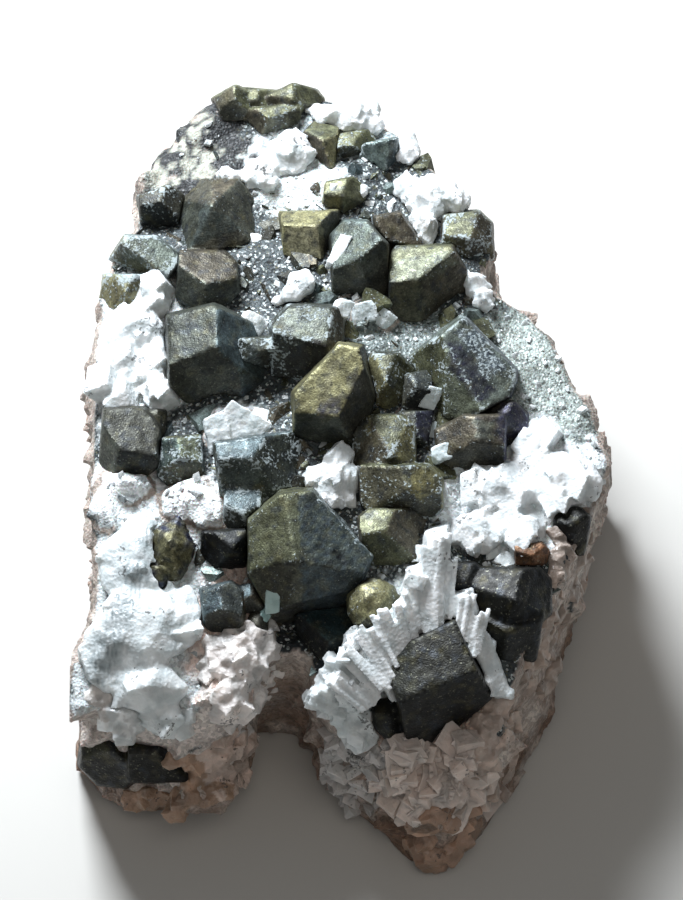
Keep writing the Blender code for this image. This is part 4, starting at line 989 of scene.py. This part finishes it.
# %% Make every crystal
GRAIN, BALL_GRAIN, BALL_CRUMBS = 0.33, 0.22, 260
CRYSTAL_LAYERS = (
    ("swell", 3.5, 0.16),
    ("swell", 0.9, 0.05, (3.0, 1.0, 0.5)),
    ("steps", 1.6, 0.05, (3.0, 1.2, 0.6), (0.3, 0.9, 0.2)),
)
total = 0
for name, (colours, dust) in CRYSTALS.items():
    node = "tetrahedrite_" + name
    piece = clay_copy(node, GRAIN)
    if name == "ball":
        # This one is a ball of tiny crystals
        rng = random.Random(4)
        crumbs = []
        for spot, way in spots_on(piece, BALL_CRUMBS, rng, lambda spot, way: True):
            size = np.full(3, rng.uniform(0.4, 0.8))
            crumbs.append((rng.randrange(len(ORE_KINDS)), spot - way * 0.2, size, turned(rng)))
        join(piece, strew("crumbs", ORE_KINDS, crumbs)[0])
        remesh(piece, BALL_GRAIN)
    sculpt(piece, *CRYSTAL_LAYERS, raised=0.14)
    age(piece, node, name, colours, dust)
    settle(piece, "tetrahedrite", ore, node)
    total += len(piece.data.polygons)
print("crystal faces:", total)

# %% [markdown]
# ## The calcite masses
# Massive calcite is a crowd of grains grown together and broken along their flat faces.
# Displacement alone would round it off like snow. So coarse cleavage blocks are sunk into
# each measured lump, the lump is remeshed to grow them together, and soft grains follow. The
# large smooth mass on the left foot was worn or etched, and its blocks lie deeper.

# %% Each mass: tint, number of blocks, their sizes, sink, turn of the layers, spread
SNOW, GREY_WHITE, FLESH, STREAK_GREY = "#fbfdfd", "#edf1f1", "#cdbab0", "#8f989a"
MASSES = {
    "domes": (SNOW, 90, (1.0, 2.2), 0.6, (20, 35, 10), 40),
    "far_right": (SNOW, 60, (1.2, 2.4), 0.6, (60, 10, 40), 40),
    "right_point": (SNOW, 24, (1.0, 2.0), 0.6, (10, 50, 70), 30),
    "bright": (SNOW, 70, (1.4, 3.0), 0.6, (35, 20, 80), 30),
    "ball": (SNOW, 8, (0.5, 0.9), 0.6, (0, 0, 0), 90),
    "ball_cluster": (SNOW, 14, (0.7, 1.4), 0.6, (0, 30, 50), 90),
    "right_notch": (SNOW, 30, (1.2, 2.4), 0.5, (70, 40, 0), 30),
    "left_ledge": (SNOW, 64, (2.4, 6.0), 0.95, (15, 60, 30), 20),
    "left_foot": (GREY_WHITE, 30, (2.4, 5.0), 0.97, (50, 25, 15), 40),
    "star": (SNOW, 34, (1.4, 3.4), 0.5, (30, 30, 30), 40),
    "right_mass": (SNOW, 90, (2.6, 6.0), 0.85, (25, 45, 60), 25),
    "blades": (SNOW, 9, (1.0, 2.0), 0.8, (5, 10, 90), 20),
    "right_foot": (GREY_WHITE, 90, (1.4, 3.4), 0.35, (40, 60, 20), 60),
    "blade_right": (GREY_WHITE, 8, (1.0, 2.0), 0.6, (5, 15, 75), 15),
}
# A grey streak that runs down the left foot, as an outline on the sheet
STREAK = ((-25.4, -6.0), (-22.4, -7.6), (-32.8, -33.0), (-36.2, -31.6))
print("calcite masses:", len(MASSES))

# %% What the line of sight meets, and how a flat body lies there
# A flat body lies partly flat on the stone, and partly square to the line of sight
ON_THE_STONE, TO_THE_EYE = 0.45, 0.55


def seen(across, along):
    """What the line of sight meets at a place on the sheet: a point, its direction, its name."""
    aim = SHEET_CENTRE + ACROSS * across + ALONG * along - EYE
    graph = bpy.context.evaluated_depsgraph_get()
    ray = Vector(EYE * MM), Vector(aim).normalized()
    hit, spot, normal, _, thing, _ = bpy.context.scene.ray_cast(graph, *ray)
    return (np.array(spot) / MM, np.array(normal), thing.name) if hit else (None, None, "")


def lie(across, along, lean):
    """What carries a flat body at a place, its middle, and its side, length and upward ways."""
    spot, _, met = seen(across, along)
    solid = solid_faces(met.removesuffix("_surface"))
    up = np.array(solid.find_nearest(Vector(spot * MM))[1]) * ON_THE_STONE + TOWARDS * TO_THE_EYE
    up /= np.linalg.norm(up)
    way = ACROSS * math.sin(math.radians(lean)) + ALONG * math.cos(math.radians(lean))
    way = way - up * (way @ up)
    way /= np.linalg.norm(way)
    return met, spot, np.column_stack([np.cross(way, up), way, up])


print("under the middle of the sheet:", seen(0.0, 0.0)[2])

# %% [markdown]
# ## The fan of blades
# Behind the black block, calcite has grown as long thin blades that spread like a fan. They
# could be bumps on the mass, but their ends and gaps are what the eye sees. Each blade is
# four thin strips side by side, a little uneven, laid on the mass and grown together with it.

# %% Blades: middle on the sheet, length, breadth, lean in degrees
BLADES = (
    ((13.6, -16.5), 9.0, 1.8, 4), ((12.0, -18.5), 10.0, 1.6, 0), ((14.6, -19.5), 8.0, 1.5, 8),
    ((10.4, -21.0), 8.5, 1.7, -6), ((12.9, -24.0), 8.0, 1.9, 2), ((9.0, -24.5), 8.0, 2.0, -16),
    ((7.0, -26.5), 8.5, 2.0, -26), ((5.0, -28.5), 8.0, 2.1, -34), ((3.2, -31.0), 8.0, 2.2, -44),
    ((1.2, -33.6), 6.5, 2.2, -50), ((6.4, -31.5), 7.0, 2.0, -30), ((4.2, -35.0), 6.5, 2.2, -40),
    ((17.0, -23.5), 6.5, 1.7, 10), ((18.8, -25.5), 6.0, 1.6, 16),
)
STRIPS = (-0.45, -0.15, 0.15, 0.45)


def fan_of_blades(rng):
    """The strips of all blades that lie on calcite."""
    strips = []
    for (across, along), length, breadth, lean in BLADES:
        side = math.radians(lean)
        for part in STRIPS:
            thin = breadth * rng.uniform(0.26, 0.4)
            own_lean = lean + rng.uniform(-2.0, 2.0)
            aside = part * breadth
            place = across + aside * math.cos(side), along - aside * math.sin(side)
            met, spot, turn = lie(*place, own_lean)
            if met.startswith("calcite"):
                spot = spot + turn[:, 2] * rng.uniform(0.1, 0.45) + turn[:, 1] * rng.uniform(-0.5, 0.5)
                size = np.array([thin, length * rng.uniform(0.85, 1.1), breadth * 0.8])
                strips.append((0, spot, size, turn))
    print("strips:", len(strips))
    return strew("fan", SPAR_KINDS, strips)[0]


# %% Tint of a mass: pinkish low down, and a grey streak on the left foot
PINK_BELOW, PINK_FADE = 22.0, 14.0


def tint_of(name, code, spots):
    """The tint of each point of a mass, and how bright it is."""
    low = share_of((PINK_BELOW - spots[:, 2]) / PINK_FADE) * (0.8 if name.endswith("foot") else 0.2)
    tone = overlay(all_over(code, spots), rgb(FLESH), low)
    if name == "left_foot":
        streak = inside(on_sheet(spots) + waver(spots, 2.0, 6)[:, None] * 0.4, STREAK, 0.8)
        streak = streak * (0.6 + 0.3 * waver(spots * [6.0, 1.0, 1.0], 3.0, 7))
        tone = overlay(tone, rgb(STREAK_GREY), streak)
    return tone, 0.86 + 0.14 * share_of(0.5 + 0.6 * waver(spots, 3.0, 8))


print("pinkish below:", PINK_BELOW, "mm")

# %% Make every calcite mass
FACING, ABOVE_TABLE = -0.25, 1.0


def shows(spot, normal):
    """True where a point faces the eye, or nearly, and isn't on the table."""
    return normal @ TOWARDS > FACING and spot[2] > ABOVE_TABLE


FIRST_GRAIN, GRAIN, BLADE_GRAIN = 0.4, 0.28, 0.2
SMALLEST, BRIGHTEST = 0.6, 0.98
total = 0
for name, (code, count, sizes, sink, base, spread) in MASSES.items():
    node = "calcite_" + name
    piece = clay_copy(node, FIRST_GRAIN)
    sculpt(piece, ("swell", 4.0, 0.3), ("grains", 2.2, 0.35))
    rng = random.Random(len(name) * 7 + count)
    where = spots_on(piece, count, rng, shows)
    centres = break_up(piece, where, rng, sizes, sink, base, spread)
    where = spots_on(piece, count // 3, rng, shows)
    centres += break_up(piece, where, rng, (SMALLEST, sizes[0]), 0.6, base, spread)
    fine = name == "blades"
    if fine:
        join(piece, fan_of_blades(rng))
    remesh(piece, BLADE_GRAIN if fine else GRAIN)
    sculpt(piece, ("swell", 0.9, 0.02 if fine else 0.07), ("grains", 0.55, 0.02 if fine else 0.08))
    spots = places(piece)
    tone, soft = tint_of(name, code, spots)
    shades = np.array([rng.uniform(0.82, 1.04) for _ in centres])[nearest(centres, spots)[0]]
    paint(piece, "tint", np.clip(tone * (soft * shades)[:, None], 0.0, BRIGHTEST))
    settle(piece, "calcite", spar, node, smooth=25)
    total += len(piece.data.polygons)
print("calcite faces:", total)

# %% [markdown]
# ## Calcite on the feet
# Below the crystals the two feet of the block are crusted with calcite too: whitish lumps on
# the left one, pinkish cleavage blocks on the right one, browner ones low down. Texture could
# hint at them, but they make the feet's ragged outline. They are blocks again, dropped onto
# the surface along the line of sight. The lumps are remeshed because they have grown
# together, and the blocks keep their sharp edges.

# %% Zones: centre on the sheet, reach, number, sizes, sink, tint
SHARP_ZONES = (
    ((13.7, -46.0), (8.0, 6.5), 170, (1.6, 4.2), 0.25, "#e2d0c5"),
    ((2.5, -43.5), (5.0, 7.0), 80, (1.2, 3.0), 0.25, "#cfc9c5"),
)
LUMP_ZONES = (
    ((15.0, -54.0), (6.5, 5.0), 70, (1.4, 3.2), 0.25, "#a98a75"),
    ((21.5, -40.0), (3.2, 9.0), 60, (1.2, 2.6), 0.3, "#bda99c"),
    ((27.5, -25.0), (3.6, 9.0), 80, (1.2, 3.0), 0.35, "#ad9a8d"),
    ((32.5, -13.0), (3.2, 8.0), 60, (1.2, 2.8), 0.35, "#a8988d"),
    ((-14.1, -29.0), (5.4, 10.0), 150, (1.2, 3.2), 0.35, "#e0d8d3"),
    ((-24.5, -46.0), (9.0, 4.5), 80, (1.4, 3.2), 0.3, "#a58873"),
    ((-30.0, -35.0), (6.0, 4.0), 40, (1.2, 2.6), 0.3, "#d8d2cd"),
    ((-15.0, -44.0), (4.5, 5.0), 70, (1.2, 2.8), 0.3, "#c8b2a5"),
    ((-27.0, -37.5), (6.5, 2.0), 36, (1.4, 3.2), -0.1, "#dfe0df"),
)
LUMP_GRAIN, TURN, SPREAD = 0.3, (30, 20, 40), 70.0


def crowd(name, zones, fused):
    """Blocks of calcite in oval zones on the rock, grown into lumps or with their edges kept."""
    rng = random.Random(len(zones))
    copies, tints = [], []
    for centre, reach, count, sizes, sink, code in zones:
        for _ in range(count):
            way, far = rng.uniform(0.0, 2.0 * math.pi), math.sqrt(rng.random())
            across = centre[0] + reach[0] * far * math.cos(way)
            along = centre[1] + reach[1] * far * math.sin(way)
            spot, normal, met = seen(across, along)
            if met != "matrix_surface" or spot[2] < ABOVE_TABLE:
                continue
            length = rng.uniform(*sizes)
            size = np.array([length, length * rng.uniform(0.7, 1.0), length * rng.uniform(0.6, 0.95)])
            kind, middle = rng.randrange(len(SPAR_KINDS)), spot - normal * size[2] * sink
            copies.append((kind, middle, size, turned(rng, SPREAD, TURN)))
            shade = rgb(code) * rng.uniform(0.7, 1.1)
            tints.append(shade * (1.0 if rng.random() < 0.7 else rng.uniform(1.0, 1.25)))
    piece, owner = strew(name, SPAR_KINDS, copies, LEANING)
    if fused:
        remesh(piece, LUMP_GRAIN)
        sculpt(piece, ("swell", 0.9, 0.06))
        owner = nearest(middles(copies), places(piece))[0]
    paint(piece, "tint", np.clip(np.array(tints)[owner], 0.0, 0.95))
    settle(piece, "calcite", spar, smooth=25 if fused else 0)
    print(name, "blocks:", len(copies), "faces:", len(piece.data.polygons))


crowd("calcite_lumps_on_feet", LUMP_ZONES, True)
crowd("calcite_blocks_on_right_foot", SHARP_ZONES, False)

# %% [markdown]
# ## Chips and plates
# Single chips and thin plates of calcite lie between the large crystals and on them. They
# are cut from the same kinds, laid one by one where they are seen, and remeshed finely so
# that a soft swell can make their outlines ragged, as broken calcite is.

# %% Chips: place on the sheet, length, breadth, thickness, lean in degrees, tint
CHIPS = (
    ((-0.4, 27.7), 4.6, 1.8, 1.4, 10, "#f4f8f8"), ((6.7, 33.6), 1.8, 0.9, 0.8, 0, "#eef3f3"),
    ((-1.2, 36.4), 1.2, 1.0, 0.9, 0, "#eef3f3"), ((-12.0, 29.3), 1.4, 2.0, 1.0, 0, "#f4f8f8"),
    ((-12.2, 17.5), 3.0, 3.8, 1.2, 30, "#f4f8f8"), ((0.1, 19.6), 2.6, 2.2, 1.6, 20, "#eef3f3"),
    ((3.2, 19.0), 3.0, 3.4, 1.8, -15, "#e6edee"), ((5.8, 18.2), 2.6, 2.6, 1.6, 35, "#e6edee"),
    ((12.4, 7.2), 3.4, 2.2, 1.2, 12, "#d6e0e2"), ((12.6, 2.5), 2.8, 2.2, 1.0, 40, "#cfd9da"),
    ((13.9, -0.4), 2.2, 3.0, 1.0, -20, "#dfe7e8"), ((10.8, -14.4), 2.4, 1.7, 1.0, 0, "#f4f8f8"),
    ((10.2, -18.4), 2.0, 3.0, 1.2, 10, "#f4f8f8"), ((22.8, -15.3), 2.2, 2.6, 1.2, 25, "#f4f8f8"),
    ((21.0, -14.6), 1.6, 2.0, 1.0, -10, "#eef3f3"), ((-9.6, -20.5), 4.6, 2.0, 1.2, -10, "#b9cfca"),
    ((-10.6, -23.0), 3.2, 1.6, 1.0, 25, "#aac6c2"), ((-14.4, 3.2), 5.6, 6.4, 1.0, 30, "#f6fafa"),
    ((-17.2, 2.4), 5.0, 3.4, 1.0, -25, "#eef4f5"), ((-11.6, 4.2), 3.4, 2.2, 1.0, 10, "#f6fafa"),
)
CHIP_GRAIN = 0.16
rng = random.Random(14)
copies = []
for place, length, breadth, thick, lean, _ in CHIPS:
    _, spot, turn = lie(*place, lean)
    kind, middle = rng.randrange(len(SPAR_KINDS)), spot - turn[:, 2] * thick * 0.2
    copies.append((kind, middle, np.array([breadth, length, thick]), turn))
chips, _ = strew("calcite_chips_and_plates", SPAR_KINDS, copies, LEANING)
remesh(chips, CHIP_GRAIN)
sculpt(chips, ("swell", 1.2, 0.2), ("grains", 0.5, 0.06))
owner = nearest(middles(copies), places(chips))[0]
paint(chips, "tint", np.array([rgb(code) for *_, code in CHIPS])[owner])
settle(chips, "calcite", spar)
print("chips:", len(copies), "faces:", len(chips.data.polygons))

# %% [markdown]
# ## Two odd ones
# On the left foot sits a patch of pyrite, a brassy iron sulphide that grew as a crust of tiny
# crystals, with a dark bluish rim. On the right edge one calcite crystal is stained orange
# brown by iron. The crust is a crowd of the small kinds, half sunk and grown together, and
# the stained crystal keeps its own faces.

# %% The pyrite patch and the iron-stained crystal
PYRITE_CENTRE, PYRITE_REACH, PYRITE_CRUMBS = (-23.6, -14.4), (3.0, 3.9), 420
FIRST_GRAIN, GRAIN = 0.3, 0.2
pyrite = clay_copy("pyrite_patch", FIRST_GRAIN)
rng = random.Random(9)
crumbs = []
for spot, way in spots_on(pyrite, PYRITE_CRUMBS, rng, shows):
    kind, size = rng.randrange(len(ORE_KINDS)), np.full(3, rng.uniform(0.3, 0.8))
    crumbs.append((kind, spot - way * 0.25, size, turned(rng)))
join(pyrite, strew("crumbs", ORE_KINDS, crumbs)[0])
remesh(pyrite, GRAIN)
sculpt(pyrite, ("grains", 0.5, 0.08))
spots = places(pyrite)
middle = patch(on_sheet(spots), PYRITE_CENTRE, PYRITE_REACH, 0.3, waver(spots, 2.0, 31) * 0.3)
paint(pyrite, "tarnish", overlay(all_over("#1c2136", spots), rgb("#5d5a41"), middle))
settle(pyrite, "pyrite", ore, "pyrite_patch")

stained = clay_copy("iron_stained_crystal", GRAIN)
sculpt(stained, ("grains", 0.5, 0.08))
paint(stained, "tarnish", all_over("#6b4c36", places(stained)))
settle(stained, "iron_stained_calcite", ore, "iron_stained_crystal")
print("crumbs of pyrite:", len(crumbs))

# %% [markdown]
# ## The crust on the ground
# Between the crystals the ground is crusted with small tetrahedrite crystals and with grains
# of calcite. The line of sight is cast at random places, and where it meets the top of the
# rock a small body is set. The larger ones keep a distance from each other. Where the ground
# is rich in ore, most are crystals, and elsewhere most are grains. Scatter nodes would do the
# same, but they couldn't follow the sight into the gaps.

# %% Where the small bodies go
ORE_TONES = ["steel", "grey", "grey", "umber", "olive", "olive", "brown", "brown", "pale"]
ORE_SIZES, SPAR_SIZES = (0.5, 0.7, 0.9, 1.2, 1.6, 2.2), (0.3, 0.4, 0.6, 0.9)
SIGHTS, MOST_LARGE, LARGE_APART = 5200, 90, 2.3
LOWEST, FRONT = 22.0, -30.0
# Few grains lie on the broken far left corner
CORNER_RIGHT, CORNER_NEAR = -11.0, 31.0


def ore_at(across, along):
    """How likely a small crystal is at a place on the sheet, from 0 to 1."""
    likely = 0.6
    for centre, reach, _, _, part in ROCK_PATCHES:
        belongs = patch(np.array([[across, along]]), centre, reach)[0]
        likely = likely * (1.0 - belongs) + part * belongs
    return likely


print("how likely a small crystal is in the middle:", round(float(ore_at(0.0, 0.0)), 2))

# %% Cast the line of sight, and set a body where it meets the top of the rock
rng = random.Random(5)
ore_copies, ore_tones, spar_copies, large = [], [], [], []
for _ in range(SIGHTS):
    across, along = rng.uniform(-34, 36), rng.uniform(-44, 50)
    spot, normal, name = seen(across, along)
    if name != "matrix_surface" or spot[2] < LOWEST or along < FRONT:
        continue
    if ground.find_nearest(Vector(spot * MM))[1].z < FLATTEST:
        continue
    likely = ore_at(across, along)
    on_corner = across < CORNER_RIGHT and along > CORNER_NEAR
    room = len(large) < MOST_LARGE and all(math.dist(spot, other) > LARGE_APART for other in large)
    if likely > 0.25 and room:
        size = rng.uniform(1.8, 3.6) * np.array([1.0, rng.uniform(0.8, 1.1), 1.0])
        kind, middle = rng.randrange(len(ORE_KINDS)), spot - normal * size[0] * 0.3
        ore_copies.append((kind, middle, size, turned(rng)))
        ore_tones.append(rng.choice(ORE_TONES))
        large.append(spot)
    elif rng.random() < likely * 0.3:
        size = np.full(3, rng.choice(ORE_SIZES) * rng.uniform(0.8, 1.3))
        kind, middle = rng.randrange(len(ORE_KINDS)), spot - normal * size[0] * 0.15
        ore_copies.append((kind, middle, size, turned(rng)))
        ore_tones.append(rng.choice(ORE_TONES))
    elif rng.random() < (0.12 if on_corner else 0.5):
        size = rng.choice(SPAR_SIZES) * rng.uniform(0.8, 1.3)
        shape = np.array([rng.uniform(0.7, 1.5), rng.uniform(0.6, 1.1), rng.uniform(0.4, 0.8)]) * size
        kind, middle = rng.randrange(len(SPAR_KINDS)), spot - normal * size * 0.1
        spar_copies.append((kind, middle, shape, turned(rng)))
print("small crystals:", len(ore_copies), "grains:", len(spar_copies))

# %% The crust's two pieces
druse, owner = strew("small_tetrahedrite_crystals", ORE_KINDS, ore_copies)
tones = np.array([rgb(PALETTE[name]) * rng.uniform(0.7, 1.3) for name in ore_tones])
paint(druse, "tarnish", tones[owner])
weigh(druse, "dust", np.full(len(owner), 0.25))
settle(druse, "tetrahedrite", ore, smooth=0)
grains, owner = strew("calcite_grains", SPAR_KINDS, spar_copies, LEANING)
tones = rgb(GREY_WHITE) * np.array([[rng.uniform(0.35, 1.0)] for _ in spar_copies])
paint(grains, "tint", tones[owner])
settle(grains, "calcite", spar, smooth=0)
print("faces of the crust:", len(druse.data.polygons) + len(grains.data.polygons))
